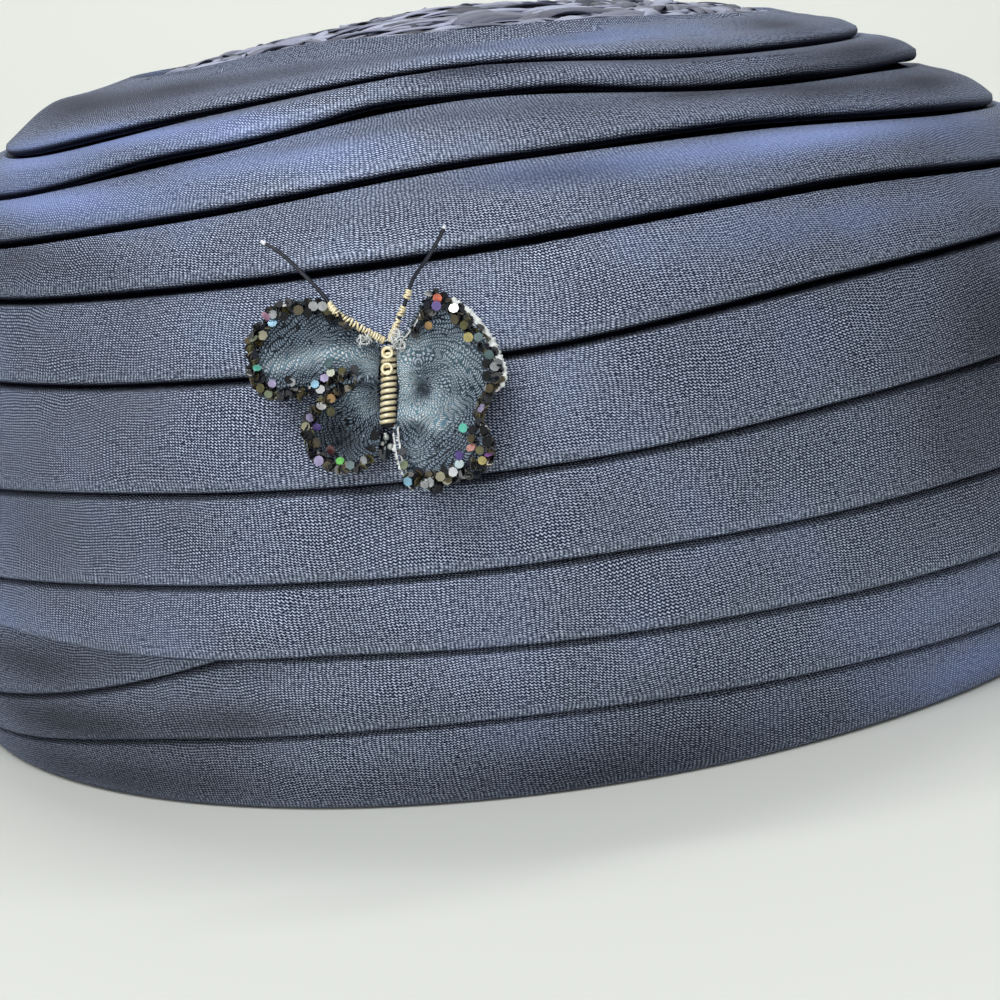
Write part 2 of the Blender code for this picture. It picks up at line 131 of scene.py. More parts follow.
# the turned edge of each fold round the hat, as a share of the crown's length
EDGE_AZIMUTHS = (-180, -135, -90, -60, -30, 0, 30, 60, 90, 135)
FOLD_EDGES = {
    "fold_01": (0.86, 0.84, 0.80, 0.80, 0.872, 0.918, 0.892, 0.892, 0.888, 0.865),
    "fold_02": (0.79, 0.77, 0.72, 0.722, 0.797, 0.860, 0.832, 0.826, 0.81, 0.79),
    "fold_03": (0.70, 0.685, 0.645, 0.65, 0.689, 0.748, 0.757, 0.726, 0.705, 0.70),
    "fold_04": (0.61, 0.60, 0.575, 0.583, 0.602, 0.629, 0.653, 0.63, 0.62, 0.61),
    "fold_05": (0.51, 0.505, 0.49, 0.497, 0.502, 0.505, 0.536, 0.535, 0.525, 0.51),
    "fold_06": (0.40, 0.395, 0.385, 0.38, 0.383, 0.381, 0.393, 0.394, 0.395, 0.40),
    "fold_07": (0.29, 0.285, 0.278, 0.273, 0.282, 0.276, 0.268, 0.260, 0.27, 0.285),
    "fold_08": (0.185, 0.19, 0.205, 0.22, 0.20, 0.185, 0.172, 0.155, 0.16, 0.175),
    "fold_09": (0.085, 0.075, 0.055, 0.052, 0.091, 0.102, 0.083, 0.062, 0.065, 0.08),
    "hem_fold": (0.0, 0.0, 0.0, 0.0, 0.0, 0.0, 0.0, 0.0, 0.0, 0.0),
}
FOLD_NAMES = list(FOLD_EDGES)
HEM = len(FOLD_NAMES) - 1
OVER_SHORT, UNDER_SHORT = FOLD_NAMES.index("fold_08"), FOLD_NAMES.index("fold_09")

# the short fold's ends, its lowest reach and its thinner cloth
SHORT_FROM, SHORT_TO = math.radians(-122.727), math.radians(-24.545)
SHORT_STEP = math.radians(360.0 / 44.0)
SHORT_DROP, SHORT_LAP, SHORT_CLOTH, SHORT_COLUMNS = 0.125, 0.6, 0.0012, 200

# edges that stand away from the fold below: fold, azimuth, spread, lift in mm
LIFTS = (
    ("fold_01", -50, 16, 0.7), ("fold_02", -36, 10, 1.1), ("fold_02", -10, 6, 1),
    ("fold_02", 12, 6, 0.6), ("fold_02", 40, 9, 0.8), ("fold_02", 74, 14, 1.4),
    ("fold_03", 26, 13, 0.9), ("fold_03", 54, 16, 0.8), ("fold_04", 40, 16, 0.6),
    ("fold_05", 30, 22, 0.9), ("fold_06", 34, 20, 0.5), ("fold_08", -34, 14, 0.5),
    ("hem_fold", 0, 400, -0.8),
)

# fullness of its own in a fold's face: fold, azimuth, height down the face, spread
# of each, height in mm
SWELLS = (
    ("fold_01", -78, 0.42, 16, 0.34, 1.2),
    ("fold_02", -20, 0.62, 14, 0.3, 0.5),
    ("fold_03", -4, 0.6, 22, 0.34, 0.4),
    ("fold_04", 30, 0.35, 24, 0.32, 0.5),
)

# tucks taken in a fold's face: fold, azimuth, height down the face as a share,
# slope down the face per degree, half length in degrees, depth in mm
TUCKS = (
    ("fold_02", -2, 0.45, -0.008, 12, 0.9),
    ("fold_02", 36, 0.55, 0.004, 9, 0.6),
    ("fold_02", -52, 0.75, 0.014, 7, 0.6),
    ("fold_03", -33, 0.3, -0.01, 12, 0.45),
    ("fold_03", 20, 0.35, -0.006, 14, 0.3),
    ("fold_05", 15, 0.93, 0.000, 8, 0.3),
)

# painted lavender sheen, above 0, and a dull grey, below 0, which is partly the
# satin's own tone and partly painted shade, on the folds: azimuth, share of the
# crown, spread of each, amount
SHEEN = (
    (-60, 0.78, 14, 0.034, 1), (-40, 0.822, 18, 0.026, 1), (-48, 0.706, 16, 0.03, 1),
    (-22, 0.762, 15, 0.028, 0.55), (24, 0.966, 20, 0.034, 0.5), (32, 0.714, 18, 0.026, 1),
    (10, 0.712, 12, 0.024, 0.4), (52, 0.694, 10, 0.024, 0.3), (30, 0.598, 18, 0.028, 0.3),
    (38, 0.035, 10, 0.034, 0.6), (-52, 0.225, 12, 0.034, 0.4),
    (40, 0.13, 14, 0.034, 0.25), (-66, 0.905, 22, 0.06, -1),
    (-40, 0.945, 14, 0.035, -0.75), (-22, 0.962, 9, 0.03, -0.4),
    (56, 0.945, 10, 0.04, -0.8), (4, 0.894, 14, 0.016, -0.4),
    (30, 0.872, 12, 0.014, -0.6), (58, 0.85, 16, 0.03, -0.8), (98, 0.83, 20, 0.05, -0.7),
    (10, 0.806, 9, 0.026, -0.3), (27, 0.814, 9, 0.022, -0.8),
    (42, 0.792, 9, 0.022, -0.85), (62, 0.775, 13, 0.03, -1),
    (-46, 0.632, 12, 0.028, -0.5), (42, 0.44, 9, 0.1, -0.6), (37, 0.29, 8, 0.09, -0.5),
    (-49, 0.17, 12, 0.03, -0.9), (-45, 0.1, 14, 0.03, -1), (-26, 0.12, 10, 0.024, -0.5),
    (-42, 0.03, 18, 0.04, -0.8),
)

# painted shade, where a fold is turned away from the light as the folds above it
# press it down: azimuth, share of the crown, spread of each, amount
DUSK = (
    (2, 0.888, 11, 0.018, 0.62), (22, 0.888, 9, 0.014, 0.4), (7, 0.706, 11, 0.024, 0.54),
    (21, 0.712, 7, 0.022, 0.2), (-9, 0.67, 9, 0.024, 0.16), (-2, 0.972, 11, 0.018, 0.42),
    (18, 0.974, 10, 0.018, 0.34), (56, 0.95, 8, 0.03, 0.26), (60, 0.775, 12, 0.03, 0.22),
    (52, 0.696, 9, 0.03, 0.24), (4, 0.808, 14, 0.024, 0.2), (27, 0.595, 12, 0.024, 0.14),
    (-42, 0.345, 10, 0.04, 0.14), (4, 0.01, 20, 0.07, 0.62), (-28, 0.03, 12, 0.05, 0.18),
)


def smooth_step(value):
    """0 below 0, 1 above 1, and a smooth rise between."""
    value = np.clip(value, 0.0, 1.0)
    return value * value * (3.0 - 2.0 * value)


def soft_spot(across, along=0.0):
    """1 in the middle of a spot, and nearly 0 past twice its spread."""
    return np.exp(-(across**2) - along**2)


def turn_from(azimuth, centre=0.0):
    """Turn from a centre to places round the hat, the shorter way."""
    return (azimuth - centre + math.pi) % (2.0 * math.pi) - math.pi


def degrees_from(azimuth, centre=0.0):
    """The same turn in degrees, from a centre in degrees."""
    return np.degrees(turn_from(azimuth, math.radians(centre)))


def curve_through(stations, values, at):
    """Values at many places on the smooth curve through a few."""
    stations, values = np.asarray(stations, float), np.asarray(values, float)
    last = len(stations) - 1
    ahead = np.minimum(np.arange(last + 1) + 1, last)
    behind = np.maximum(np.arange(last + 1) - 1, 0)
    slopes = (values[ahead] - values[behind]) / (stations[ahead] - stations[behind])
    i = np.clip(np.searchsorted(stations, at) - 1, 0, last - 1)
    span = stations[i + 1] - stations[i]
    t = (at - stations[i]) / span
    t2, t3 = t * t, t * t * t
    return (
        (2 * t3 - 3 * t2 + 1) * values[i]
        + (t3 - 2 * t2 + t) * slopes[i] * span
        + (3 * t2 - 2 * t3) * values[i + 1]
        + (t3 - t2) * slopes[i + 1] * span
    )


def along_route(route, way):
    """Places on the smooth curve through a route's points, by their numbers."""
    stations = np.arange(len(route))
    return np.stack([curve_through(stations, route[:, axis], way) for axis in range(route.shape[1])], axis=-1)


def form_point(azimuth, share):
    """Points on the mean face of the folds; azimuth 0 is the front."""
    rise, reach, drop = (curve_through(CROWN_SHARES, CROWN[:, c], share) for c in range(3))
    top = smooth_step((share - LEAN_START) / (1.0 - LEAN_START))
    x = HALF_WIDTH * reach * np.sin(azimuth) + CROWN_LEAN * top
    y = -HALF_DEPTH * reach * np.cos(azimuth)
    lift = FRONT_LIFT * top * np.maximum(np.cos(azimuth), 0.0) ** 3
    return np.stack((x, y, HEIGHT * rise - drop * x + lift), axis=-1)


def form_out(azimuth, share):
    """Directions out of the form."""
    step = 0.01
    low, high = np.maximum(share - step, 0.0), np.minimum(share + step, 1.0)
    up = form_point(azimuth, high) - form_point(azimuth, low)
    across = form_point(azimuth + step, share) - form_point(azimuth - step, share)
    out = np.cross(across, up)
    return out / np.linalg.norm(out, axis=-1, keepdims=True)


def drape_point(azimuth, share, offset):
    """Points at an offset from the form; level at the hem, so its edge lies flat."""
    out = form_out(azimuth, share)
    out[..., 2] *= smooth_step(share / FOLD_EDGES["fold_09"][0])
    out /= np.linalg.norm(out, axis=-1, keepdims=True)
    return form_point(azimuth, share) + out * np.asarray(offset)[..., None]


def fold_edge(fold, azimuth):
    """Turned edge of a fold, which wanders a little; above the first is the tip."""
    if fold < 0:
        return np.ones_like(azimuth)
    stations = np.concatenate([np.array(EDGE_AZIMUTHS) + turn for turn in (-360, 0, 360)])
    edge = curve_through(stations, FOLD_EDGES[FOLD_NAMES[fold]] * 3, degrees_from(azimuth))
    if fold == HEM:
        return edge
    wander = np.sin(5 * azimuth + 2.1 * fold) + 0.5 * np.sin(11 * azimuth + 4.3 * fold)
    return edge + EDGE_WANDER * wander / CROWN_LENGTH


def tip_cover(azimuth):
    """How far the first fold is drawn in over the straw, most at the front."""
    degrees = degrees_from(azimuth)
    further = 0.35 * soft_spot((degrees + 25.0) / 16.0)
    return TIP_COVER * (soft_spot(((degrees + 2.0) / 58.0) ** 2) + further)


def fold_top(fold, azimuth):
    """Hidden upper edge of a fold, tucked under the fold above."""
    above = fold_edge(fold - 1, azimuth)
    if fold == 0:
        return above + tip_cover(azimuth)
    return above + PLEAT_LAP * (fold_edge(fold - 2, azimuth) - above)


def short_way(azimuth):
    """How far along the short fold an azimuth lies: 0 and 1 at its ends."""
    return (turn_from(azimuth) - SHORT_FROM) / (SHORT_TO - SHORT_FROM)


def short_edge(azimuth):
    """Turned edge of the short fold, which runs out under fold_08 at both ends."""
    way = np.clip(short_way(azimuth), 0.0, 1.0)
    return fold_edge(OVER_SHORT, azimuth) - SHORT_DROP * np.sin(math.pi * way)


def cover_edge(fold, azimuth):
    """Edge of whatever lies over the top of a fold."""
    if fold == 0:
        return np.full_like(azimuth, 1.0 - TIP_LAP)
    if fold == UNDER_SHORT:
        return short_edge(azimuth)
    return fold_edge(fold - 1, azimuth)


def inner_offset(fold, azimuth, share):
    """Offset of a fold's inner face, which climbs over the fold below it."""
    climb = CLOTH + GAP
    if fold == OVER_SHORT:
        way = short_way(azimuth)
        past = np.maximum(np.maximum(-way, way - 1.0), 0.0) * (SHORT_TO - SHORT_FROM) / SHORT_STEP
        climb = climb + (SHORT_CLOTH + GAP) * np.maximum(1.0 - past, 0.0)
    start, ramp_top = 0.0, fold_top(fold, azimuth)
    if fold == 0:
        start, ramp_top = STRAW + GAP, 1.0 - TIP_LAP
    ramp_end = 0.0 if fold == HEM else fold_top(fold + 1, azimuth)
    way = np.clip((ramp_top - share) / (ramp_top - ramp_end), 0.0, 1.0)
    offset = start + (climb - start) * way
    if fold < HEM:
        below = climb + inner_offset(fold + 1, azimuth, share)
        offset = np.where(share < ramp_end, below, offset)
    return offset


def down_face(fold, azimuth, share):
    """How far down a fold's visible face a share lies: 0 at its top, 1 at its edge."""
    cover, edge = cover_edge(fold, azimuth), fold_edge(fold, azimuth)
    return np.clip((cover - share) / (cover - edge), 0.0, 1.0)


def face_relief(fold, azimuth, share):
    """Fullness, drag lines and tucks of a fold's outer face."""
    way = down_face(fold, azimuth, share)
    middle = np.sin(math.pi * way)
    upper = fold < UPPER_FOLDS
    relief = (BELLY[fold] if upper else LOW_BELLY) * np.sin(math.pi * way ** FULLEST)
    if fold > 0:
        below = (cover_edge(fold, azimuth) - share) * CROWN_LENGTH
        relief = relief + FACE_RISE * smooth_step((below - RISE_FROM) / RISE_OVER) * (1.0 - way) ** 0.9
    rng = np.random.default_rng(DRAG_SEED + fold)
    for _ in range(DRAG_LINES):
        centre, level = rng.uniform(-math.pi, math.pi), rng.uniform(0.1, 0.9)
        length, slope = rng.uniform(0.10, 0.35), rng.uniform(-0.5, 0.5)
        width, height = rng.uniform(0.07, 0.2), rng.uniform(-0.00016, 0.00016)
        away = turn_from(azimuth, centre)
        drag = soft_spot((way - level - slope * away) / width, away / length)
        relief = relief + (UPPER_DRAG if upper else LOWER_DRAG) * height * drag * middle
    for name, centre, level, spread, reach, height in SWELLS:
        if name == FOLD_NAMES[fold]:
            swell = soft_spot(degrees_from(azimuth, centre) / spread, (way - level) / reach)
            relief = relief + 0.001 * height * swell * middle
    for name, centre, level, slope, length, depth in TUCKS:
        if name == FOLD_NAMES[fold]:
            away = degrees_from(azimuth, centre)
            across = (way - level - slope * away) / TUCK_WIDTH
            ridge = 0.5 * soft_spot(across / 2.0) - 1.5 * soft_spot(across * 3.0)
            pleat = np.where(across < 0.0, -soft_spot(across), ridge)
            relief = relief + 0.001 * depth * soft_spot((away / length) ** 2) * pleat * middle
    return relief


def edge_lift(fold, azimuth, share):
    """How far a fold's edge stands away from the fold below."""
    way = down_face(fold, azimuth, share)
    lift = np.zeros(np.broadcast(azimuth, share).shape)
    for name, centre, spread, height in LIFTS:
        if name == FOLD_NAMES[fold]:
            lift = lift + 0.001 * height * soft_spot(degrees_from(azimuth, centre) / spread) * way**3
    return lift


def sheen_at(azimuth, share):
    """Painted lavender sheen, above 0, or dull grey, below 0, partly the satin's tone and partly painted
    shade, at places on the crown.
    """
    degrees = degrees_from(azimuth)
    total = BACK_SHEEN * np.sin(5 * azimuth + 30.0 * share) * (np.abs(degrees) > SEEN_TO)
    for centre, level, spread, reach, amount in SHEEN:
        total = total + amount * soft_spot((degrees - centre) / spread, (share - level) / reach)
    return np.clip(total, -1.0, 1.0)


def add(finish, kind, *inputs, **settings):
    """A shader node, its settings made and its inputs set or linked in order."""
    tree = getattr(finish, "node_tree", finish)
    node = tree.nodes.new("ShaderNode" + kind)
    for setting, value in settings.items():
        setattr(node, setting, value)
    for socket, value in zip(node.inputs, inputs):
        if isinstance(value, bpy.types.NodeSocket):
            tree.links.new(value, socket)
        elif value is not None:
            socket.default_value = value
    return node


def calc(operation, *inputs):
    """Result of one Math node, in the material that its first value comes from."""
    return add(inputs[0].id_data, "Math", *inputs, operation=operation).outputs[0]


def times(first, second):
    """Product of two values."""
    return calc("MULTIPLY", first, second)


def scaled(value, factor, start):
    """A value times a factor, from a start."""
    return calc("MULTIPLY_ADD", value, factor, start)


def wave(turns, start=0.0):
    """A sine wave over a number of turns, from -1 to 1."""
    return calc("SINE", scaled(turns, 2.0 * math.pi, start))


def mix_colours(share, first, second):
    """First colour where the share is 0, second where it is 1."""
    tree = share.id_data
    node = add(tree, "Mix", share, data_type="RGBA")
    for socket, value in ((node.inputs[6], first), (node.inputs[7], second)):
        if isinstance(value, bpy.types.NodeSocket):
            tree.links.new(value, socket)
        else:
            socket.default_value = (*value, 1.0)
    return node.outputs[2]


def noise(place, scale, detail=2.0):
    """Soft noise from 0 to 1 at a scale per metre."""
    return add(place.id_data, "TexNoise", place, None, scale, detail).outputs["Fac"]


def layer(finish, name, output="Fac"):
    """A value that the piece's own points carry."""
    return add(finish, "Attribute", attribute_name=name).outputs[output]


def laid_flat(finish, uv_map):
    """A piece's places laid flat, in metres: together, along it and across it."""
    place = add(finish, "UVMap", uv_map=uv_map).outputs[0]
    return (place, *add(finish, "SeparateXYZ", place).outputs[:2])


def seen(red, green, blue):
    """Linear light of a colour as a screen shows it, from 0 to 255."""
    shares = (level / 255 for level in (red, green, blue))
    return tuple(share / 12.92 if share <= 10 / 255 else ((share + 0.055) / 1.055) ** 2.4 for share in shares)


def new_finish(name, sockets):
    """A material with its shader's plain values set."""
    finish = bpy.data.materials.new(name)
    finish.use_nodes = True
    shader = finish.node_tree.nodes["Principled BSDF"]
    for socket, value in sockets.items():
        shader.inputs[socket].default_value = value
    return finish, shader


def join_shader(shader, colour, height=None, depth=0.0, strength=1.0):
    """Lead a colour, and a height for bump, into the shader."""
    links = shader.id_data.links
    links.new(colour, shader.inputs["Base Color"])
    if height is not None:
        bump = add(shader.id_data, "Bump", strength, depth)
        links.new(height, bump.inputs["Height"])
        links.new(bump.outputs[0], shader.inputs["Normal"])


THREAD_PITCH, COLUMN_PITCH, ZIGZAG = 0.00037, 0.00055, 0.20

satin, satin_shader = new_finish("satin", {
    "Roughness": 0.5,
    "Metallic": 0.4,
    "Specular IOR Level": 0.12,
    "Specular Tint": (*seen(150, 165, 215), 1.0),
})
weave, weave_along, weave_down = laid_flat(satin, "weave")
drift_rows = scaled(noise(weave, 38.0), 18.0, times(noise(weave, 520.0, 1.0), 0.9))
drift_columns = scaled(noise(weave, 30.0), 12.0, times(noise(weave, 360.0, 1.0), 1.4))
columns = scaled(weave_along, 1.0 / COLUMN_PITCH, drift_columns)
column_wave = wave(columns)
rows = scaled(column_wave, ZIGZAG, scaled(weave_down, 1.0 / THREAD_PITCH, drift_rows))
thread = calc("POWER", scaled(wave(rows), 0.5, 0.5), 2.4)
dash = scaled(wave(columns, 1.3), 0.4, 0.65)
fleck = scaled(noise(weave, 2100.0, 1.0), 3.4, -0.7)
# pale threads: the weave's pattern, their near-white colour painted glints of the satin's floats
thread_glint = times(times(thread, dash), fleck)
ribs = times(scaled(column_wave, 0.22, 0.24), fleck)
thread_glint = add(satin, "Mix", times(layer(satin, "ribs"), 0.85), None, thread_glint, ribs).outputs[0]
mottle = scaled(noise(weave, 60.0, 3.0), 0.6, -0.3)
# painted sheen from the sheen attribute, lavender above 0; below 0 a dull grey, partly the satin's own tone
# and partly painted shade
sheen = calc("ADD", layer(satin, "sheen"), mottle)
blue_share = add(satin, "MapRange", sheen, 0.0, 1.0, 0.0, 1.0).outputs[0]
grey_share = add(satin, "MapRange", sheen, 0.0, -1.0, 0.0, 1.0).outputs[0]
ground = mix_colours(blue_share, seen(12, 19, 42), seen(110, 125, 172))
ground = mix_colours(grey_share, ground, seen(36, 37, 42))
# colour of the threads: painted glints, bluer in the painted sheen and greyer in the grey
light = mix_colours(blue_share, seen(216, 229, 252), seen(188, 205, 246))
light = mix_colours(grey_share, light, seen(106, 108, 116))
cloth_colour = mix_colours(thread_glint, ground, light)
# painted shade from the shade attribute, darkening the cloth towards near black
cloth_colour = mix_colours(layer(satin, "shade"), cloth_colour, seen(8, 9, 17))
join_shader(satin_shader, cloth_colour, thread_glint, 0.00008, 0.35)


def add_mesh(name, bm, finish, smooth=True):
    """An object of a built mesh in its finish."""
    mesh = bpy.data.meshes.new(name)
    bm.to_mesh(mesh)
    bm.free()
    if smooth:
        mesh.shade_smooth()
    mesh.materials.append(finish)
    thing = bpy.data.objects.new(name, mesh)
    bpy.context.scene.collection.objects.link(thing)
    return thing


def add_piece(name, bm, finish, smooth=True):
    """A piece of the hat, which rides with it."""
    piece = add_mesh(name, bm, finish, smooth)
    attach(piece, "root")
    return piece


def cap_ends(bm):
    """Close the open ends of a mesh."""
    bmesh.ops.holes_fill(bm, edges=[edge for edge in bm.edges if edge.is_boundary], sides=0)


def band_piece(name, azimuth, shares, offsets, closed):
    """A fold: a grid laid round the hat by the shares and offsets of its rows, with
    its weave in metres, its painted sheen, its ribs and its painted shade, welded along its hidden top."""
    last_column, last_row = len(azimuth) - 1, len(shares) - 1
    grid = bmesh.new()
    bmesh.ops.create_grid(grid, x_segments=last_column, y_segments=last_row, size=0.5)
    mesh = bpy.data.meshes.new(name)
    grid.to_mesh(mesh)
    grid.free()
    flat = np.empty(len(mesh.vertices) * 3)
    mesh.vertices.foreach_get("co", flat)
    flat = flat.reshape(-1, 3) + 0.5
    column = np.rint(flat[:, 0] * last_column).astype(int)
    row = np.rint(flat[:, 1] * last_row).astype(int)
    points = drape_point(azimuth[None, :] + np.zeros_like(shares), shares, INNERMOST + offsets)
    mesh.vertices.foreach_set("co", points[row, column].ravel())

    # the weave runs round the hat and down from the crown's top
    face, rolled = HIDDEN_ROWS + FACE_ROWS, HIDDEN_ROWS + FACE_ROWS + ROLL_ROWS
    radius = np.linalg.norm(points[..., :2], axis=-1).mean()
    steps_down = np.linalg.norm(np.diff(points, axis=0), axis=-1)
    down = np.cumsum(np.concatenate((np.zeros((1, len(azimuth))), steps_down)), axis=0)
    down -= down[face - 1] - CROWN_LENGTH * (1.0 - shares[face - 1])
    corners = np.empty(len(mesh.loops), int)
    mesh.loops.foreach_get("vertex_index", corners)
    places = np.stack((azimuth[column] * radius, -down[row, column]), axis=-1)[corners]
    mesh.uv_layers.new(name="weave").data.foreach_set("uv", places.ravel())

    # painted shade: the cloth is darkened where it runs in under its cover, where its edge rolls in, and at
    # the DUSK places
    turned = (shares - shares.min(axis=0)) * CROWN_LENGTH
    dark = np.zeros_like(turned)
    if name != "fold_01_satin":
        below = (shares[HIDDEN_ROWS] - shares[:face]) * CROWN_LENGTH
        dark[:face] = 1.0 - smooth_step((below - 0.0002) / 0.0005)
    dark[face:rolled] = 1.0 - smooth_step(turned[face:rolled] / 0.0004)
    if name == "hem_fold_satin":
        dark[:rolled] *= 0.5
    for centre, level, spread, reach, amount in DUSK:
        dusk = amount * soft_spot((np.degrees(azimuth) - centre) / spread, (shares[:face] - level) / reach)
        dark[:face] = np.maximum(dark[:face], dusk)
    ribbed = soft_spot((turned - RIB_LINE) / RIB_SPREAD)
    for tone, values in (("sheen", sheen_at(azimuth[None, :], shares)), ("ribs", ribbed), ("shade", dark)):
        carried = mesh.attributes.new(tone, "FLOAT", "POINT")
        carried.data.foreach_set("value", values[row, column].astype(np.float32))

    bm = bmesh.new()
    bm.from_mesh(mesh)
    bpy.data.meshes.remove(mesh)
    bmesh.ops.remove_doubles(bm, verts=bm.verts, dist=1e-6)
    if not closed:
        cap_ends(bm)
    bmesh.ops.recalc_face_normals(bm, faces=bm.faces)
    if bm.calc_volume(signed=True) < 0.0:
        bmesh.ops.reverse_faces(bm, faces=bm.faces)
    return add_piece(name, bm, satin)


def fold_rows(top, cover, edge, cloth, inner, relief, lift):
    """Shares and offsets round a fold's section: hidden lap, face, turned edge and
    back. The given functions tell the inner face, the face's relief and the lift."""
    turn = edge + EDGE_TURN / CROWN_LENGTH
    risen = np.minimum((RISE_FROM + 1.1 * RISE_OVER) / CROWN_LENGTH, 0.4 * (cover - turn))
    outer = np.concatenate((
        np.linspace(top, cover, HIDDEN_ROWS, endpoint=False),
        np.linspace(cover, cover - risen, RISE_ROWS, endpoint=False),
        np.linspace(cover - risen, turn, FACE_ROWS - RISE_ROWS),
    ))
    back = np.linspace(turn, top, INNER_ROWS)
    angle = np.linspace(0.0, math.pi, ROLL_ROWS + 2)[1:-1, None]
    roll = turn - EDGE_TURN * np.sin(angle) / CROWN_LENGTH
    at_turn = np.broadcast_to(turn, roll.shape)
    face = inner(outer) + cloth + relief(outer) + lift(outer)
    rolled = inner(at_turn) + 0.5 * cloth * (1.0 + np.cos(angle)) + lift(at_turn)
    shares = np.concatenate((outer, roll, back, outer[:1]))
    offsets = np.concatenate((face, rolled, inner(back) + lift(back), face[:1]))
    return shares, offsets


azimuths = np.linspace(-math.pi, math.pi, COLUMNS_ROUND + 1)
for number, name in enumerate(FOLD_NAMES):
    shares, offsets = fold_rows(
        fold_top(number, azimuths), cover_edge(number, azimuths), fold_edge(number, azimuths), CLOTH,
        lambda s: inner_offset(number, azimuths, s),
        lambda s: face_relief(number, azimuths, s),
        lambda s: edge_lift(number, azimuths, s),
    )
    fold = band_piece(name + "_satin", azimuths, shares, offsets, closed=True)
    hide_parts(name)

# One short fold is let in at the wearer's right, between the eighth and ninth: a
# thinner strip of the same satin whose two ends run out under the eighth.
azimuths = np.linspace(SHORT_FROM, SHORT_TO, SHORT_COLUMNS)
short_cover = fold_edge(OVER_SHORT, azimuths)
shares, offsets = fold_rows(
    short_cover + SHORT_LAP * (fold_top(UNDER_SHORT, azimuths) - short_cover),
    short_cover, short_edge(azimuths), SHORT_CLOTH,
    lambda s: CLOTH + GAP + inner_offset(UNDER_SHORT, azimuths, s),
    np.zeros_like,
    np.zeros_like,
)
short_fold = band_piece("short_fold_satin", azimuths, shares, offsets, closed=False)
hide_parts("short_fold")

# The tip is a round of plaited straw: flat ribbons of dyed straw, laid slantwise to
# and fro in rows that run round it, pressed over the dome and sewn under the first
# fold. The dome itself is the frame's own piece, with a straw finish.
TIP_DOME = 0.0052
STRAND_ROW, STRAND_STEP, STRAND_LAP = 0.0048, 0.0030, 0.72
STRAND_LENGTH, STRAND_WIDTH, STRAND_ARCH, STRAND_THICK = 0.0120, 0.0024, 0.0006, 0.00018
STRAND_LEAN = math.radians(24.0)
OUTER_REACH, INNER_REACH = 0.985, 0.04


def mottled(name, sockets, scale, detail, first, second, depth=0.0, strength=1.0):
    """A finish whose colour, and height if it has a depth, wander softly."""
    finish, shader = new_finish(name, sockets)
    cloud = noise(add(finish, "TexCoord").outputs["Object"], scale, detail)
    colour = mix_colours(cloud, seen(*first), seen(*second))
    join_shader(shader, colour, cloud if depth else None, depth, strength)
    return finish


def refinish(node, finish):
    """Give a piece of the frame a finish of its own."""
    materials = frame["nodes"][node].data.materials
    materials.clear()
    materials.append(finish)


straw = mottled(
    "straw", {"Roughness": 0.5, "Specular IOR Level": 0.4, "Sheen Weight": 0.15},
    160.0, 3.0, (30, 32, 42), (74, 80, 104), 0.0006, 0.8,
)
refinish("straw_tip", straw)

ribbon, ribbon_shader = new_finish("straw_ribbon", {"Roughness": 0.55, "Specular IOR Level": 0.3})
_, ribbon_along, ribbon_across = laid_flat(ribbon, "strand")
fibres = add(ribbon, "CombineXYZ", times(ribbon_along, 60.0), times(ribbon_across, 1400.0)).outputs[0]
fibres = noise(fibres, 3.0, 2.0)
strand_colour = mix_colours(layer(ribbon, "strand_tone"), seen(48, 51, 66), seen(196, 202, 228))
strand_colour = mix_colours(times(fibres, 0.55), strand_colour, seen(44, 46, 60))
join_shader(ribbon_shader, strand_colour, fibres, 0.0002, 0.5)


def tip_point(azimuth, reach):
    """Points on the dome of the tip, by share of its rim's reach."""
    rim = drape_point(azimuth, np.ones_like(azimuth), np.full_like(azimuth, INNERMOST + STRAW))
    whole = np.linspace(-math.pi, math.pi, 90)[:-1]
    middle = drape_point(whole, np.ones_like(whole), np.full_like(whole, INNERMOST + STRAW)).mean(axis=0)
    dome = TIP_DOME * (1.0 - reach * reach)
    return middle + (rim - middle) * reach[..., None] + dome[..., None] * np.array((0.0, 0.0, 1.0))


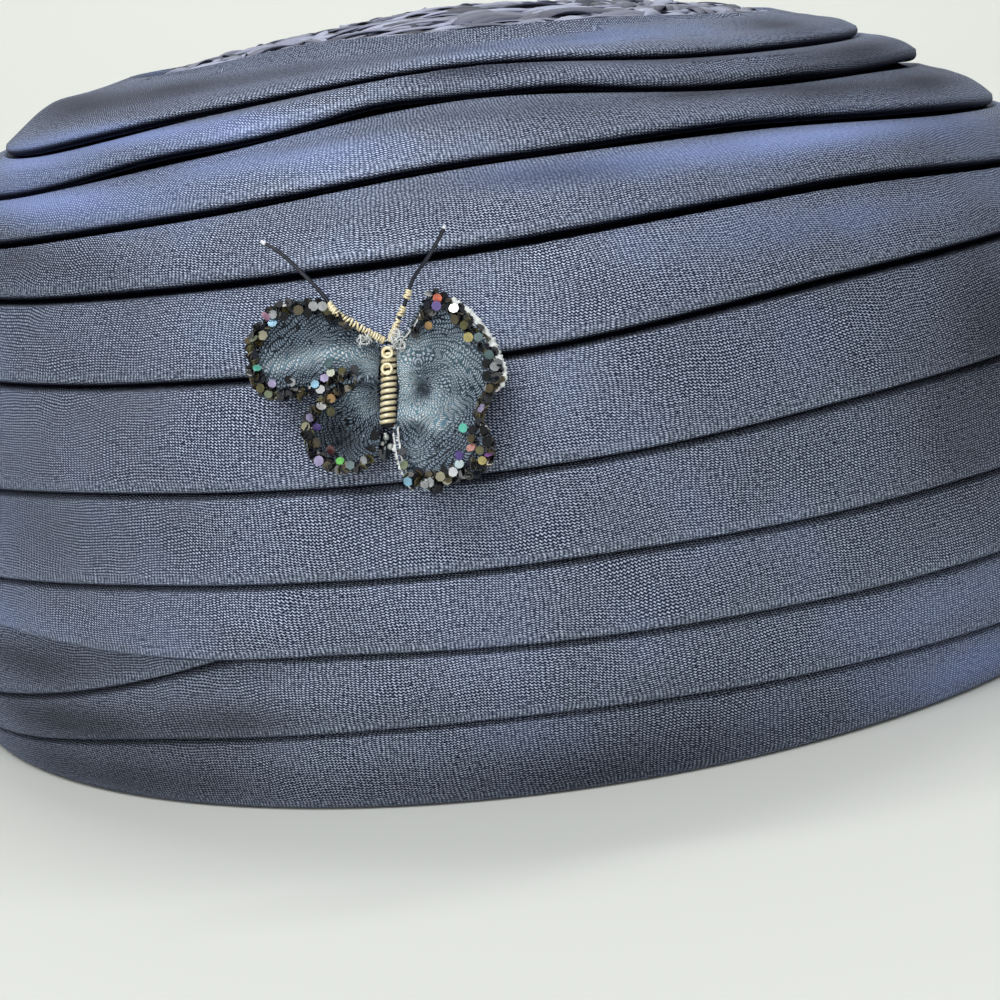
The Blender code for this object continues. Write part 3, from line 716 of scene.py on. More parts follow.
rng = np.random.default_rng(7)
strands_bm = bmesh.new()
strand_map = strands_bm.loops.layers.uv.new("strand")
strand_tones = strands_bm.verts.layers.float.new("strand_tone")
rim_reach = float(np.linalg.norm(tip_point(np.zeros(1), np.ones(1)) - tip_point(np.zeros(1), np.zeros(1))))
ring, reach = 0, OUTER_REACH
while reach > INNER_REACH:
    count = max(int(2.0 * math.pi * reach * rim_reach / STRAND_STEP), 5)
    lean = STRAND_LEAN if ring % 2 else -STRAND_LEAN
    loose = min(ring / 2.0, 1.0)
    for k in range(count):
        azimuth = 2.0 * math.pi * (k + rng.uniform(-0.2, 0.2)) / count
        drawn_in = CROWN_LENGTH * float(tip_cover(azimuth)) / rim_reach * (reach / OUTER_REACH) ** 6
        at = reach * (1.0 + rng.uniform(-0.012, 0.012)) - drawn_in
        around, outwards = np.array((azimuth, azimuth, azimuth + 0.02)), np.array((at, at + 0.02, at))
        here, outer, beside = tip_point(around, outwards)
        out, along = Vector(outer - here).normalized(), Vector(beside - here).normalized()
        up = out.cross(along).normalized()
        up = up if up.z > 0.0 else -up
        turn = (lean + rng.normal(0.0, 0.22)) * (0.3 + 0.7 * loose)
        lengthwise = (along * math.cos(turn) + out * math.sin(turn)).normalized()
        tilt = up * (0.08 + rng.normal(0.0, 0.24) * loose)
        sidewise = (up.cross(lengthwise) + tilt).normalized()
        size = STRAND_LENGTH * rng.uniform(0.7, 1.15) * (0.6 + 0.4 * loose)
        wide = STRAND_WIDTH * rng.uniform(0.55, 1.25)
        made = bmesh.ops.create_grid(strands_bm, x_segments=5, y_segments=2, size=0.5)["verts"]
        tone = rng.uniform(0.0, 1.0)
        fuller = smooth_step((here[0] + 0.034) / 0.030)
        lift = 0.0008 * loose * rng.uniform(0.0, 1.0) ** 2 + 0.0009 * float(fuller) - 0.0002
        for vert in made:
            x, y = vert.co.x, vert.co.y
            vert[strand_tones] = tone
            for loop in vert.link_loops:
                loop[strand_map].uv = (x * size, y * wide)
            arch = STRAND_ARCH * (1.0 - 4.0 * x * x) + 0.00012 * (1.0 - 4.0 * y * y)
            narrow = 1.0 - 0.5 * abs(2.0 * x) ** 3
            spread = lengthwise * (x * size) + sidewise * (y * wide * narrow)
            vert.co = Vector(here) + spread + up * (arch + lift)
    reach -= STRAND_LAP * STRAND_ROW / rim_reach
    ring += 1
bmesh.ops.recalc_face_normals(strands_bm, faces=strands_bm.faces)
for face in strands_bm.faces:
    if face.normal.z < 0.0:
        face.normal_flip()
bmesh.ops.solidify(strands_bm, geom=strands_bm.faces, thickness=STRAND_THICK)
add_piece("straw_strands", strands_bm, ribbon)

# A small butterfly is pinned at the front, towards the wearer's right. Each wing is
# cut from the same kind of satin in deep teal, gathered at the body and glued at its
# rim, and stands up from the hat.
BUTTERFLY_AZIMUTH, BUTTERFLY_SHARE = math.radians(-9.2), 0.481
BUTTERFLY_TURN = math.radians(-5.3)
BODY_LENGTH, BODY_RADIUS = 0.0108, 0.0011
WING_CLOTH, WING_LIFT, WING_REACH, RIM_CURL = 0.00035, 0.0035, 17.5, 0.7
WING_COLUMNS, WING_ROWS = 96, 40

low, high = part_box("butterfly_body")
middle = 0.5 * (low + high)
place, turn_step = np.array(BUTTERFLY_AZIMUTH), 0.01
out = Vector(form_out(place, BUTTERFLY_SHARE))
around = form_point(place + turn_step, BUTTERFLY_SHARE) - form_point(place - turn_step, BUTTERFLY_SHARE)
around = Vector(around).normalized()
up = out.cross(around).normalized()
across = around * math.cos(BUTTERFLY_TURN) + up * math.sin(BUTTERFLY_TURN)
along = out.cross(across).normalized()
pin = Matrix((across, along, out)).transposed().to_4x4()
pin.translation = middle

# wing outlines from the root's top round to its foot, in mm from the body's middle
WINGS = {
    "wing_left_upper": (
        (-1.2, 5.0), (-4.9, 8.0), (-8.4, 10.2), (-12.2, 10.7), (-15.3, 8.9), (-17.4, 5.6), (-17.6, 2.2),
        (-16.4, -0.6), (-13.6, -1.7), (-10.3, -1.4), (-7.2, -0.2), (-4.6, 1.1), (-1.4, 0.6),
    ),
    "wing_left_lower": (
        (-1.4, 0.2), (-4.4, 0.6), (-7.0, -1.2), (-9.4, -3.6), (-10.2, -6.4), (-9.0, -9.3), (-6.2, -10.9),
        (-3.0, -10.8), (-1.2, -9.4), (-0.9, -5.6),
    ),
    "wing_right": (
        (1.3, 5.2), (3.6, 7.4), (5.4, 10.4), (7.2, 11.3), (9.8, 9.6), (12.6, 7.0), (14.6, 3.6), (15.3, 0.6),
        (13.6, -2.4), (12.9, -4.6), (14.4, -7.4), (14.2, -10.0), (11.4, -11.8), (7.4, -13.4), (4.6, -13.2),
        (2.8, -10.2), (1.6, -5.4),
    ),
}

# swells and hollows of each wing: across, along, spread and height in mm
WING_FORMS = {
    "wing_left_upper": (
        (-7.6, 3.2, 2.4, 1.1), (-4.6, 6.2, 1.6, -1.4), (-12.2, 5.2, 3.4, -1.5), (-4.6, 1.0, 1.2, 1.2),
        (-12.0, 0.8, 1.6, 0.5),
    ),
    "wing_left_lower": ((-5.8, -5.8, 2.8, -2.0), (-3.0, -1.6, 1.3, 1.1)),
    "wing_right": (
        (8.6, 5.2, 3.8, 0.9), (4.9, -0.6, 1.1, -1.2), (5.6, -3.7, 1.7, 1.5), (4.0, -6.3, 1.5, -1.6),
        (7.6, -9.4, 2.8, 0.9), (11.6, -1.8, 2.2, -1.0), (2.6, 1.8, 1.7, 0.9), (9.6, -4.6, 1.6, -0.8),
    ),
}

# where each wing's threads fan out from, in mm, and how widely
GATHERS = {
    "wing_left_upper": ((-0.6, 1.6), 0.0055),
    "wing_left_lower": ((-0.6, -1.0), 0.0045),
    "wing_right": ((4.3, 0.0), 0.0032),
}

# painted sheen, above 0, and painted shade, below 0, on each wing: across, along,
# spread of each, amount
WING_SHEEN_AND_SHADE = {
    "wing_left_upper": (
        (-14.3, 2.1, 1.6, 0.7, 0.55), (-12.2, 2.9, 2.8, 0.9, 0.62), (-8.7, 3.9, 2.8, 1.0, 0.75),
        (-5.1, 4.1, 2.0, 1.5, 0.66), (-2.6, 2.4, 1.2, 1.7, 0.7),
    ),
    "wing_left_lower": (
        (-4.6, -1.4, 1.3, 1.1, 0.45), (-3.0, -3.0, 1.1, 1.3, 0.6), (-6.2, -6.8, 3.2, 2.8, -0.8),
    ),
    "wing_right": (
        (2.4, 1.4, 1.4, 3.8, 1.0), (3.7, -3.5, 2.4, 1.2, 1.0), (7.1, -4.9, 1.3, 1.1, 1.0),
        (9.1, -2.7, 1.2, 1.7, 0.5), (6.6, -1.0, 0.9, 1.5, 0.5), (4.7, 5.1, 1.6, 1.3, 0.45),
        (9.4, 3.6, 2.8, 2.6, 0.25), (4.7, -8.3, 1.8, 2.8, 0.2), (4.9, -0.6, 0.8, 0.5, -0.7),
        (6.6, -3.0, 1.8, 1.7, 0.6), (9.8, 1.6, 3.2, 2.4, 0.2),
    ),
}
WING_COLUMN, WING_THREAD = 0.00056, 0.00031

wing_satin, wing_shader = new_finish(
    "wing_satin", {"Roughness": 0.5, "Specular IOR Level": 0.2, "Sheen Weight": 0.05},
)
fanned, fan_reach, fan_round = laid_flat(wing_satin, "gathers")
jitter = times(noise(fanned, 260.0, 3.0), 9.0)
wing_columns = scaled(fan_round, 0.5 / WING_THREAD, scaled(fan_reach, 1.0 / WING_COLUMN, jitter))
wing_wave = wave(wing_columns)
wing_rows = scaled(fan_round, 1.0 / WING_THREAD, scaled(wing_wave, 0.13, jitter))
twice_as_many = wave(times(wing_rows, 2.0))
wing_thread = add(wing_satin, "Mix", layer(wing_satin, "outer"), None, wave(wing_rows), twice_as_many)
wing_thread = wing_thread.outputs[0]
wing_thread = times(calc("POWER", scaled(wing_thread, 0.5, 0.5), 2.0), scaled(wing_wave, 0.75, 0.70))
wing_thread = times(wing_thread, scaled(noise(fanned, 1700.0, 1.0), 11.0, -3.1))
wing_sheen_share = layer(wing_satin, "pale")
# where the pale attribute is above 0, painted sheen gives a lighter ground and near-white thread glints;
# where it is below 0, painted shade darkens the wing towards near black
wing_ground = mix_colours(wing_sheen_share, seen(4, 12, 23), seen(98, 136, 154))
wing_glint = mix_colours(wing_sheen_share, seen(152, 172, 192), seen(255, 255, 255))
wing_colour = mix_colours(wing_thread, wing_ground, wing_glint)
wing_colour = mix_colours(times(wing_sheen_share, -1.0), wing_colour, seen(8, 11, 16))
join_shader(wing_shader, wing_colour, wing_thread, 0.00014, 0.7)


def wing_height(name, x, y, rim_way):
    """Height of a wing over the body's line, for places in mm."""
    outline = np.array(WINGS[name])
    root = 0.5 * (outline[0] + outline[-1])
    reach = np.hypot(x - root[0], y - root[1]) / WING_REACH
    height = 1000.0 * WING_LIFT * reach * (2.0 - reach)
    for centre_x, centre_y, spread, swell in WING_FORMS[name]:
        height = height + swell * soft_spot((x - centre_x) / spread, (y - centre_y) / spread)
    return height + RIM_CURL * rim_way**6


def on_pin(x, y, z):
    """Point at the butterfly for a place in mm from its body's middle."""
    return pin @ Vector((0.001 * x, 0.001 * y, 0.001 * z))


for name, outline in WINGS.items():
    outline = np.array(outline)
    rim = along_route(outline, np.linspace(0.0, len(outline) - 1.0, WING_COLUMNS + 1))
    root = outline[0] + (outline[-1] - outline[0]) * np.linspace(0.0, 1.0, WING_COLUMNS + 1)[:, None]
    start, fan = GATHERS[name]
    wing_bm = bmesh.new()
    bmesh.ops.create_grid(wing_bm, x_segments=WING_COLUMNS, y_segments=WING_ROWS, size=0.5)
    gathers = wing_bm.loops.layers.uv.new("gathers")
    wing_sheen_layer, outer_layer = (wing_bm.verts.layers.float.new(share) for share in ("pale", "outer"))
    for vert in wing_bm.verts:
        column = round((vert.co.x + 0.5) * WING_COLUMNS)
        t = vert.co.y + 0.5
        x, y = root[column] + (rim[column] - root[column]) * t
        radius = 0.001 * math.hypot(x - start[0], y - start[1])
        bearing = math.atan2(y - start[1], abs(x - start[0]))
        for loop in vert.link_loops:
            loop[gathers].uv = (radius, fan * bearing)
        ripple = 0.2 * math.sin(0.9 * column + 2.0 * math.sin(0.21 * column)) * math.sin(math.pi * t) ** 0.7
        pleat = 0.9 * math.sin(0.37 * column + 1.0) * t * (1.0 - t) ** 2
        amount = 0.0
        for centre_x, centre_y, wide, tall, strength in WING_SHEEN_AND_SHADE[name]:
            amount += strength * float(soft_spot((x - centre_x) / wide, (y - centre_y) / tall))
        vert[wing_sheen_layer] = min(max(amount, -1.0), 1.0)
        vert[outer_layer] = float(smooth_step((radius / fan - 1.25) / 0.3))
        vert.co = on_pin(x, y, float(wing_height(name, x, y, t)) + ripple + pleat)
    bmesh.ops.remove_doubles(wing_bm, verts=wing_bm.verts, dist=1e-6)
    bmesh.ops.dissolve_degenerate(wing_bm, dist=1e-7, edges=wing_bm.edges)
    bmesh.ops.recalc_face_normals(wing_bm, faces=wing_bm.faces)
    if sum((face.normal * face.calc_area() for face in wing_bm.faces), Vector()).dot(out) < 0.0:
        bmesh.ops.reverse_faces(wing_bm, faces=wing_bm.faces)
    wing = add_piece(name + "_satin", wing_bm, wing_satin)
    wall = wing.modifiers.new("cloth", "SOLIDIFY")
    wall.thickness, wall.offset = WING_CLOTH, -1.0
    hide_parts(name)

# Glitter is glued along the rims: round flakes of film, mostly black and bronze,
# some of them pearly pink, lilac, mint, blue, green or gold. The right wing's cut
# edge shows past it in places, frayed to a pale crumpled strip.
FLAKE_WIDTH, FLAKE_FILM, FLAKE_STEP = 0.00132, 0.00012, 0.24
FLAKE_TONES = {
    "black": (8, 9, 12), "night": (20, 24, 38), "smoke": (58, 60, 64), "bronze": (84, 74, 48),
    "olive": (108, 104, 66), "sage": (136, 146, 118), "silver": (176, 180, 182),
    "white": (236, 236, 236), "pink": (214, 162, 190), "lilac": (176, 166, 204),
    "violet": (112, 92, 168), "sky": (128, 178, 204), "teal": (70, 100, 104),
    "mint": (120, 232, 206), "green": (126, 226, 110), "gold": (190, 176, 104),
    "amber": (176, 136, 82), "coral": (240, 122, 92), "salmon": (206, 148, 136),
    "wine": (92, 50, 54), "orchid": (166, 98, 184),
}
FLAKES = {
    "wing_left_upper": (
        (-13.6, 10.2, "smoke"), (-12.4, 10.5, "smoke"), (-11.2, 9.5, "bronze"), (-15.4, 8.7, "pink"),
        (-14.6, 7.8, "sky"), (-14.5, 8.9, "silver"), (-13.1, 8.7, "black"), (-16.9, 5.7, "sage"),
        (-15.8, 6.2, "olive"), (-16.7, 3.6, "night"), (-16.4, 1.9, "mint"), (-15.6, 0.5, "night"),
        (-14.3, -0.1, "lilac"), (-15.8, -0.7, "olive"), (-14.8, -1.5, "sage"), (-12.1, 0.4, "black"),
        (-11.7, 0.1, "silver"), (-10.6, -1.3, "bronze"), (-8.8, -0.1, "sky"), (-7.6, 0.7, "lilac"),
        (-6.8, 1.4, "sage"), (-5.3, 1.6, "olive"), (-3.9, 1.9, "smoke"), (-7.0, 2.6, "teal"),
        (-8.1, -0.8, "smoke"), (-9.2, 10.0, "silver"), (-8.0, 10.0, "silver"), (-10.0, 9.2, "black"),
    ),
    "wing_left_lower": (
        (-6.8, -1.8, "amber"), (-8.1, -2.9, "white"), (-7.0, -3.5, "olive"), (-9.5, -4.4, "lilac"),
        (-8.6, -5.5, "violet"), (-9.5, -6.6, "black"), (-8.5, -7.6, "bronze"), (-6.7, -8.5, "wine"),
        (-7.5, -9.3, "black"), (-8.0, -10.0, "lilac"), (-5.3, -10.0, "green"), (-3.9, -10.5, "teal"),
        (-2.2, -9.9, "silver"), (-1.3, -8.3, "smoke"), (-1.1, -6.6, "black"),
    ),
    "wing_right": (
        (7.2, 10.9, "coral"), (7.1, 9.9, "violet"), (6.1, 7.4, "amber"), (5.9, 10.0, "night"),
        (8.3, 9.7, "black"), (9.4, 9.5, "white"), (10.8, 7.3, "olive"), (11.4, 5.8, "gold"),
        (12.7, 5.8, "teal"), (9.6, 8.1, "bronze"), (14.1, 3.6, "teal"), (13.7, 2.4, "black"),
        (14.8, 2.0, "silver"), (13.8, 0.9, "black"), (14.9, 0.4, "night"), (14.2, -0.7, "bronze"),
        (14.0, -2.0, "smoke"), (13.1, -3.2, "lilac"), (10.8, -5.7, "mint"), (12.1, -6.0, "black"),
        (12.9, -4.9, "night"), (13.6, -6.1, "black"), (12.0, -7.1, "bronze"), (12.0, -8.3, "salmon"),
        (13.1, -8.6, "olive"), (14.3, -9.2, "orchid"), (13.5, -9.9, "gold"), (14.2, -7.6, "black"),
        (10.5, -9.3, "violet"), (10.6, -10.4, "teal"), (8.7, -11.3, "black"), (8.2, -12.0, "olive"),
        (6.9, -12.7, "silver"), (6.1, -13.0, "silver"), (3.9, -12.6, "sky"), (3.3, -10.5, "sage"),
        (2.9, -8.8, "smoke"), (9.8, -11.4, "silver"), (12.2, -10.6, "smoke"),
    ),
}
glitter, glitter_shader = new_finish(
    "glitter", {"Roughness": 0.22, "Metallic": 0.25, "Specular IOR Level": 0.7, "Coat Weight": 0.4},
)
film = noise(add(glitter, "TexCoord").outputs["Object"], 900.0, 2.0)
flake_colour = mix_colours(scaled(film, 1.3, -0.4), layer(glitter, "flake", "Color"), seen(20, 22, 26))
join_shader(glitter_shader, flake_colour)
fray = mottled(
    "frayed_edge", {"Roughness": 0.8, "Specular IOR Level": 0.2},
    1600.0, 2.0, (176, 182, 184), (252, 254, 252), 0.0002, 0.8,
)


def frayed_edge(name, stretches):
    """Pale crumpled strips along stretches of a wing's rim: from, to, width in mm."""
    edge_rng = np.random.default_rng(5)
    outline = np.array(WINGS[name])
    strip_bm = bmesh.new()
    for first, last, width in stretches:
        columns = int((last - first) * 22)
        made = bmesh.ops.create_grid(strip_bm, x_segments=columns, y_segments=3, size=0.5)["verts"]
        crumple = edge_rng.normal(0.0, 1.0, (columns + 1, 4))
        for vert in made:
            column, row = round((vert.co.x + 0.5) * columns), round((vert.co.y + 0.5) * 3)
            way = first + (last - first) * column / columns
            here, ahead = along_route(outline, way), along_route(outline, way + 0.05)
            run = (ahead - here) / np.linalg.norm(ahead - here)
            ends = min(column, columns - column, 4) / 4.0
            reach = width * ends * (row / 3.0 * (1.0 + 0.1 * crumple[column, 0])) - 0.25
            x, y = here + reach * np.array((-run[1], run[0]))
            height = float(wing_height(name, x, y, 0.9)) + 0.28 + 0.12 * crumple[column, row] - 0.1 * row
            vert.co = on_pin(x, y, height)
    bmesh.ops.recalc_face_normals(strip_bm, faces=strip_bm.faces)
    bmesh.ops.solidify(strip_bm, geom=strip_bm.faces, thickness=0.0001)
    return add_piece(name + "_fray", strip_bm, fray)


def only(kind, geometry):
    """The vertices, edges or faces of what an operator made."""
    return [part for part in geometry if isinstance(part, kind)]


rng = np.random.default_rng(21)
dark_tones = (
    "black", "black", "night", "black", "bronze", "smoke", "black", "olive", "black", "bronze", "night",
)
for name, placed in FLAKES.items():
    outline = np.array(WINGS[name])
    rim_length = float(np.linalg.norm(np.diff(outline, axis=0), axis=1).sum())
    bare_end = 2.5 if name == "wing_right" else 1.9
    scattered = []
    for _ in range(int(rim_length / FLAKE_STEP)):
        spot = along_route(outline, rng.uniform(0.9, len(outline) - bare_end))
        x, y = spot + (outline.mean(axis=0) - spot) * rng.uniform(-0.04, 0.15)
        scattered.append((x, y, dark_tones[rng.integers(len(dark_tones))]))
    flakes_bm = bmesh.new()
    flake_layer = flakes_bm.verts.layers.float_color.new("flake")
    for number, (x, y, tone) in enumerate(scattered + list(placed)):
        shown = number >= len(scattered)
        width, sides = FLAKE_WIDTH * rng.uniform(0.82, 1.05), int(rng.choice((6, 7, 8, 9)))
        made = bmesh.ops.create_circle(flakes_bm, cap_ends=True, segments=sides, radius=0.5 * width)["verts"]
        risen = bmesh.ops.extrude_face_region(flakes_bm, geom=list(made[0].link_faces))["geom"]
        risen = only(bmesh.types.BMVert, risen)
        bmesh.ops.translate(flakes_bm, verts=risen, vec=(0.0, 0.0, FLAKE_FILM))
        lean = 0.38 if shown else 0.7
        tilt = Matrix.Rotation(rng.normal(0.0, lean), 4, "X") @ Matrix.Rotation(rng.normal(0.0, lean), 4, "Y")
        lift = 0.00045 + (0.00065 if shown else rng.uniform(-0.0002, 0.0002))
        spot = on_pin(x, y, float(wing_height(name, x, y, 0.85))) + out * lift
        laid = Matrix.Translation(spot) @ pin.to_3x3().to_4x4() @ tilt
        bmesh.ops.transform(flakes_bm, matrix=laid, verts=made + risen)
        for vert in made + risen:
            vert[flake_layer] = (*seen(*FLAKE_TONES[tone]), 1.0)
    bmesh.ops.recalc_face_normals(flakes_bm, faces=flakes_bm.faces)
    with_pieces = [add_piece(name + "_glitter", flakes_bm, glitter, smooth=False)]
    if name == "wing_right":
        with_pieces.append(frayed_edge(name, ((0.2, 1.7, 0.4), (3.4, 7.4, 1.15), (13.8, 16.0, 0.9))))
    wing = bpy.data.objects[name + "_satin"]

# The body is gold wire wound close round a dark core, ending in two small loops at
# the head, where loose threads curl. A dark drop and three beads hang on as the
# tail, and two thin dark wires, their feet wrapped in gold, make the feelers.
FULL_TURN = math.radians(360.0)
WIRE_RADIUS, WIRE_TURNS, TURN_STEPS = 0.00027, 13, 28
LOOP_WIRE, LOOP_RADIUS, LOOP_PLACES = 0.00022, 0.00063, (4.3, 2.2)
FEELER_RADIUS, FEELER_RINGS, PALE_RINGS = 0.00026, 60, 3
WRAP_WIRE, WRAP_STRETCH = 0.00016, 24
WRAPS = {"antenna_left": range(26), "antenna_right": (*range(15), *range(18, 22))}
WRAP_COUNTS = {"antenna_left": 26, "antenna_right": 22}
FEELERS = {
    "antenna_left": (
        (-0.2, 5.7, 0.4), (-3.0, 7.2, 1.9), (-6.6, 9.4, 3.0), (-8.0, 11.3, 3.1), (-10.8, 14.2, 3.2),
        (-14.2, 17.2, 3.4), (-16.6, 18.6, 3.6),
    ),
    "antenna_right": (
        (0.0, 5.6, 0.4), (1.1, 7.9, 1.1), (2.4, 11.0, 1.6), (3.4, 13.8, 2.0), (5.4, 16.4, 2.7),
        (7.0, 19.0, 3.1), (7.7, 20.4, 3.3),
    ),
}

# tufts of loose threads: how many, place, width and height in mm
TUFTS = ((80, 1.8, 5.4, 0.9, 0.8), (26, -3.0, 5.7, 0.9, 0.5))

gold = mottled(
    "gold_wire", {"Roughness": 0.3, "Metallic": 0.2},
    900.0, 3.0, (212, 188, 132), (255, 250, 222), 0.0001, 0.3,
)
core_thread = mottled("core_thread", {"Roughness": 0.7}, 2200.0, 2.0, (12, 14, 18), (44, 48, 52), 0.0002, 0.6)
bead = mottled(
    "tail_beads", {"Roughness": 0.1, "Specular IOR Level": 0.8, "Coat Weight": 0.6},
    1800.0, 1.0, (70, 78, 76), (196, 202, 196),
)
drop = mottled(
    "dark_drop", {"Roughness": 0.12, "Specular IOR Level": 0.6, "Coat Weight": 0.5},
    700.0, 2.0, (6, 8, 12), (34, 42, 54),
)
refinish("butterfly_tail", drop)
lacquer, lacquer_shader = new_finish("feeler_wire", {"Roughness": 0.3, "Specular IOR Level": 0.5})
join_shader(lacquer_shader, mix_colours(layer(lacquer, "tip"), seen(14, 20, 34), seen(225, 228, 235)))


def pin_piece(name, bm, finish):
    """A piece of the butterfly, made in its own frame."""
    bmesh.ops.remove_doubles(bm, verts=bm.verts, dist=1e-7)
    bmesh.ops.recalc_face_normals(bm, faces=bm.faces)
    bmesh.ops.transform(bm, matrix=pin, verts=bm.verts)
    return add_piece(name, bm, finish)


def edges_of(verts):
    """Edges that meet a ring's points."""
    return list({edge for vert in verts for edge in vert.link_edges})


def bend_wire(bm, sides, wire, radius, angle, steps, place, climb=0.0):
    """A wire bent round the Z axis and moved to its place; it may climb as it
    turns. A whole turn that doesn't climb is closed."""
    ring = bmesh.ops.create_circle(bm, cap_ends=False, segments=sides, radius=wire)["verts"]
    bmesh.ops.rotate(bm, verts=ring, matrix=Matrix.Rotation(math.radians(90.0), 3, "X"))
    bmesh.ops.translate(bm, verts=ring, vec=(radius, 0.0, 0.0))
    bmesh.ops.spin(
        bm, geom=edges_of(ring), cent=(0.0, 0.0, 0.0), axis=(0.0, 0.0, 1.0), dvec=(0.0, 0.0, climb / steps),
        angle=angle, steps=steps, use_merge=angle == FULL_TURN,
    )
    bent = [vert for vert in bm.verts if not vert.tag]
    bmesh.ops.transform(bm, matrix=place, verts=bent)
    for vert in bent:
        vert.tag = True


def aim(points, k):
    """Place and turn of a thing at a point of a route, its Z along the route."""
    ahead = Vector(points[min(k + 1, len(points) - 1)] - points[max(k - 1, 0)]).normalized()
    return Matrix.Translation(points[k]) @ ahead.to_track_quat("Z", "X").to_matrix().to_4x4()


wire_bm = bmesh.new()
along_body = Matrix.Rotation(math.radians(-90.0), 4, "X")
along_body.translation = (0.0, -0.48 * BODY_LENGTH, 0.0)
bend_wire(
    wire_bm, 8, WIRE_RADIUS, BODY_RADIUS - WIRE_RADIUS, FULL_TURN * WIRE_TURNS, TURN_STEPS * WIRE_TURNS,
    along_body, 0.96 * BODY_LENGTH,
)
cap_ends(wire_bm)
body_wire = pin_piece("body_wire", wire_bm, gold)
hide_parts("butterfly_body")

core_bm = bmesh.new()
bmesh.ops.create_cone(
    core_bm, cap_ends=True, segments=20,
    radius1=0.75 * BODY_RADIUS, radius2=0.6 * BODY_RADIUS, depth=0.97 * BODY_LENGTH,
)
bmesh.ops.rotate(core_bm, verts=core_bm.verts, matrix=Matrix.Rotation(math.radians(-90.0), 3, "X"))
pin_piece("body_core", core_bm, core_thread)

loops_bm = bmesh.new()
for height in LOOP_PLACES:
    over_body = Matrix.Translation((0.0, 0.001 * height, BODY_RADIUS + 0.0001))
    bend_wire(loops_bm, 8, LOOP_WIRE, LOOP_RADIUS, FULL_TURN, TURN_STEPS, over_body)
pin_piece("head_loops", loops_bm, gold)

tuft_bm = bmesh.new()
for count, root_x, root_y, wide, tall in TUFTS:
    for _ in range(count):
        x, y = root_x + rng.normal(0.0, 0.5) * wide, root_y + rng.normal(0.0, 0.5) * tall
        place = Matrix.Translation((0.001 * x, 0.001 * y, 0.001 * rng.uniform(1.6, 2.7)))
        curl, thick = rng.uniform(0.3, 1.1), rng.uniform(0.05, 0.1)
        angle, turned = rng.uniform(0.8, 2.6), Euler(rng.uniform(-1.2, 1.2, 3))
        bend_wire(tuft_bm, 4, 0.001 * thick, 0.001 * curl, angle, 7, place @ turned.to_matrix().to_4x4())
cap_ends(tuft_bm)
pin_piece("frayed_threads", tuft_bm, fray)

beads_bm = bmesh.new()
for x, y, size in ((0.15, -6.7, 0.42), (0.75, -7.9, 0.45), (-0.35, -7.5, 0.3)):
    made = bmesh.ops.create_icosphere(beads_bm, subdivisions=2, radius=0.001 * size)["verts"]
    bmesh.ops.translate(beads_bm, verts=made, vec=(0.001 * x, 0.001 * y, 0.0013))
pin_piece("tail_beads", beads_bm, bead)

for name, route in FEELERS.items():
    points = along_route(np.array(route) * 0.001, np.linspace(0.0, len(route) - 1.0, FEELER_RINGS))
    feeler_bm = bmesh.new()
    tips = feeler_bm.verts.layers.float.new("tip")
    rings = []
    for k in range(FEELER_RINGS):
        to_end = FEELER_RINGS - 1 - k
        thick = FEELER_RADIUS * (0.75 if to_end < 2 else 1.0) * (1.25 if to_end < PALE_RINGS else 1.0)
        end = k == 0 or to_end == 0
        ring = bmesh.ops.create_circle(feeler_bm, cap_ends=end, segments=10, radius=thick)["verts"]
        bmesh.ops.transform(feeler_bm, matrix=aim(points, k), verts=ring)
        for vert in ring:
            vert[tips] = 1.0 if to_end < PALE_RINGS else 0.0
        rings.append(edges_of(ring))
    for first, second in zip(rings, rings[1:]):
        bmesh.ops.bridge_loops(feeler_bm, edges=first + second)
    feeler = pin_piece(name + "_wire", feeler_bm, lacquer)
    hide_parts(name)
    foot_bm = bmesh.new()
    for k in WRAPS[name]:
        radius = FEELER_RADIUS + 0.00014 * rng.uniform(0.3, 1.5)
        slant = Matrix.Rotation(rng.normal(0.0, 0.3), 4, "X")
        place = aim(points, 2 + int(k * WRAP_STRETCH / WRAP_COUNTS[name])) @ slant
        bend_wire(foot_bm, 6, WRAP_WIRE, radius, FULL_TURN, 12, place)
    pin_piece(name + "_wrap", foot_bm, gold)

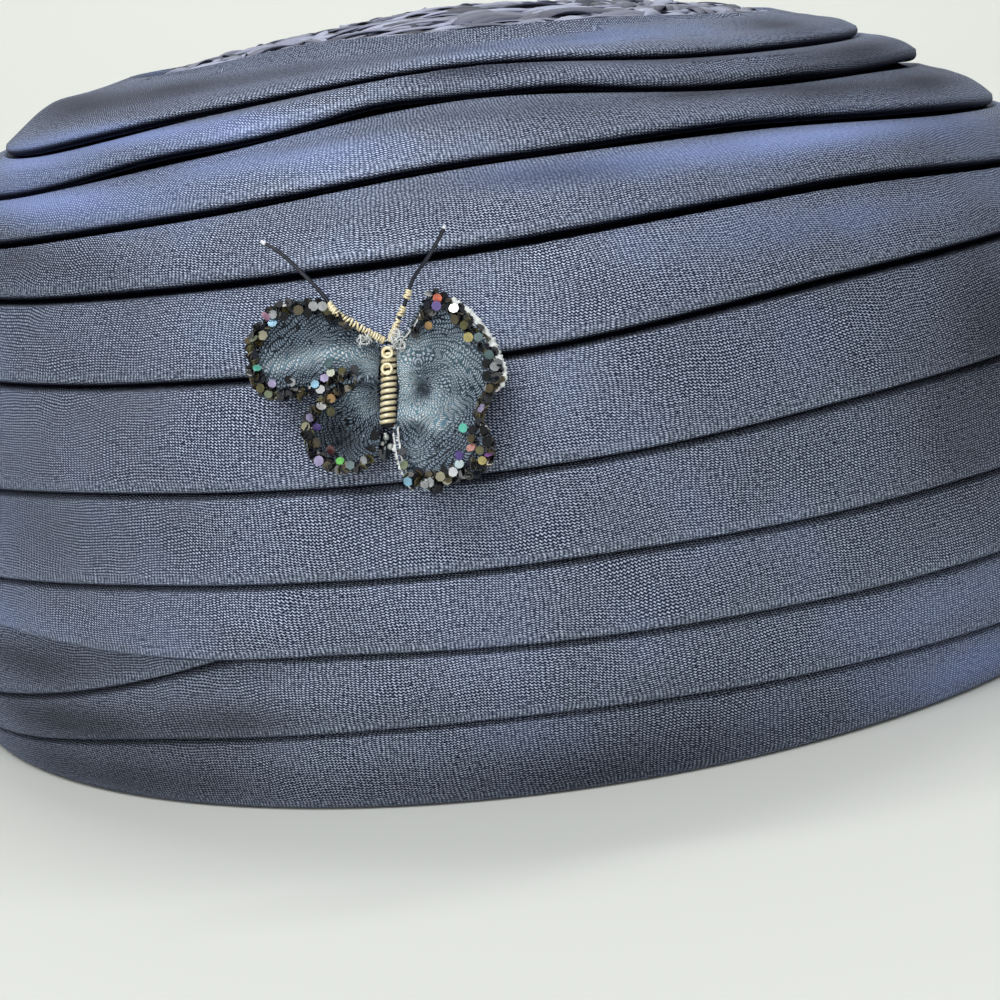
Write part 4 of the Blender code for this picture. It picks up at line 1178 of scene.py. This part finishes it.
# The hat stands on a pale floor that sweeps up behind it as a backdrop, in soft
# light: a large panel high up at the front left, a weak one low in front, and one
# that lights the backdrop.
floor_bm = bmesh.new()
sides = [floor_bm.verts.new((x, -1.5, -0.0002)) for x in (-2.5, 2.5)]
swept = bmesh.ops.extrude_edge_only(floor_bm, edges=[floor_bm.edges.new(sides)])["geom"]
bmesh.ops.translate(floor_bm, verts=only(bmesh.types.BMVert, swept), vec=(0.0, 2.7, 0.0))
swept = bmesh.ops.spin(
    floor_bm, geom=only(bmesh.types.BMEdge, swept), cent=(0.0, 1.2, 0.6), axis=(1.0, 0.0, 0.0),
    angle=math.radians(90.0), steps=24,
)["geom_last"]
swept = bmesh.ops.extrude_edge_only(floor_bm, edges=only(bmesh.types.BMEdge, swept))["geom"]
bmesh.ops.translate(floor_bm, verts=only(bmesh.types.BMVert, swept), vec=(0.0, 0.0, 1.6))
pale, _ = new_finish("pale_floor", {"Base Color": (*seen(214, 216, 210), 1.0), "Roughness": 0.8})
add_mesh("floor", floor_bm, pale)


def soft_panel(name, place, target, width, height, power):
    """A square panel of soft light that faces a point."""
    data = bpy.data.lights.new(name, "AREA")
    data.shape = "RECTANGLE"
    data.size, data.size_y, data.energy = width, height, power
    panel = bpy.data.objects.new(name, data)
    panel.location = place
    panel.rotation_euler = (Vector(target) - Vector(place)).to_track_quat("-Z", "Y").to_euler()
    bpy.context.scene.collection.objects.link(panel)
    return panel


soft_panel("window_light", (-0.34, -0.78, 1.15), (0.0, 0.0, 0.05), 0.7, 0.6, 11.5)
soft_panel("front_fill", (-0.3, -1.5, 0.6), (0.0, 0.0, 0.05), 1.0, 0.8, 7.5)
soft_panel("backdrop_light", (0.0, 0.7, 1.9), (0.0, 2.0, 0.2), 1.6, 0.5, 28.5)
surround = bpy.data.worlds.new("surround")
surround.use_nodes = True
sky = surround.node_tree.nodes["Background"]
sky.inputs["Color"].default_value = (0.93, 0.96, 1.0, 1.0)
sky.inputs["Strength"].default_value = 0.3
bpy.context.scene.world = surround
bpy.context.scene.view_settings.view_transform = "Standard"
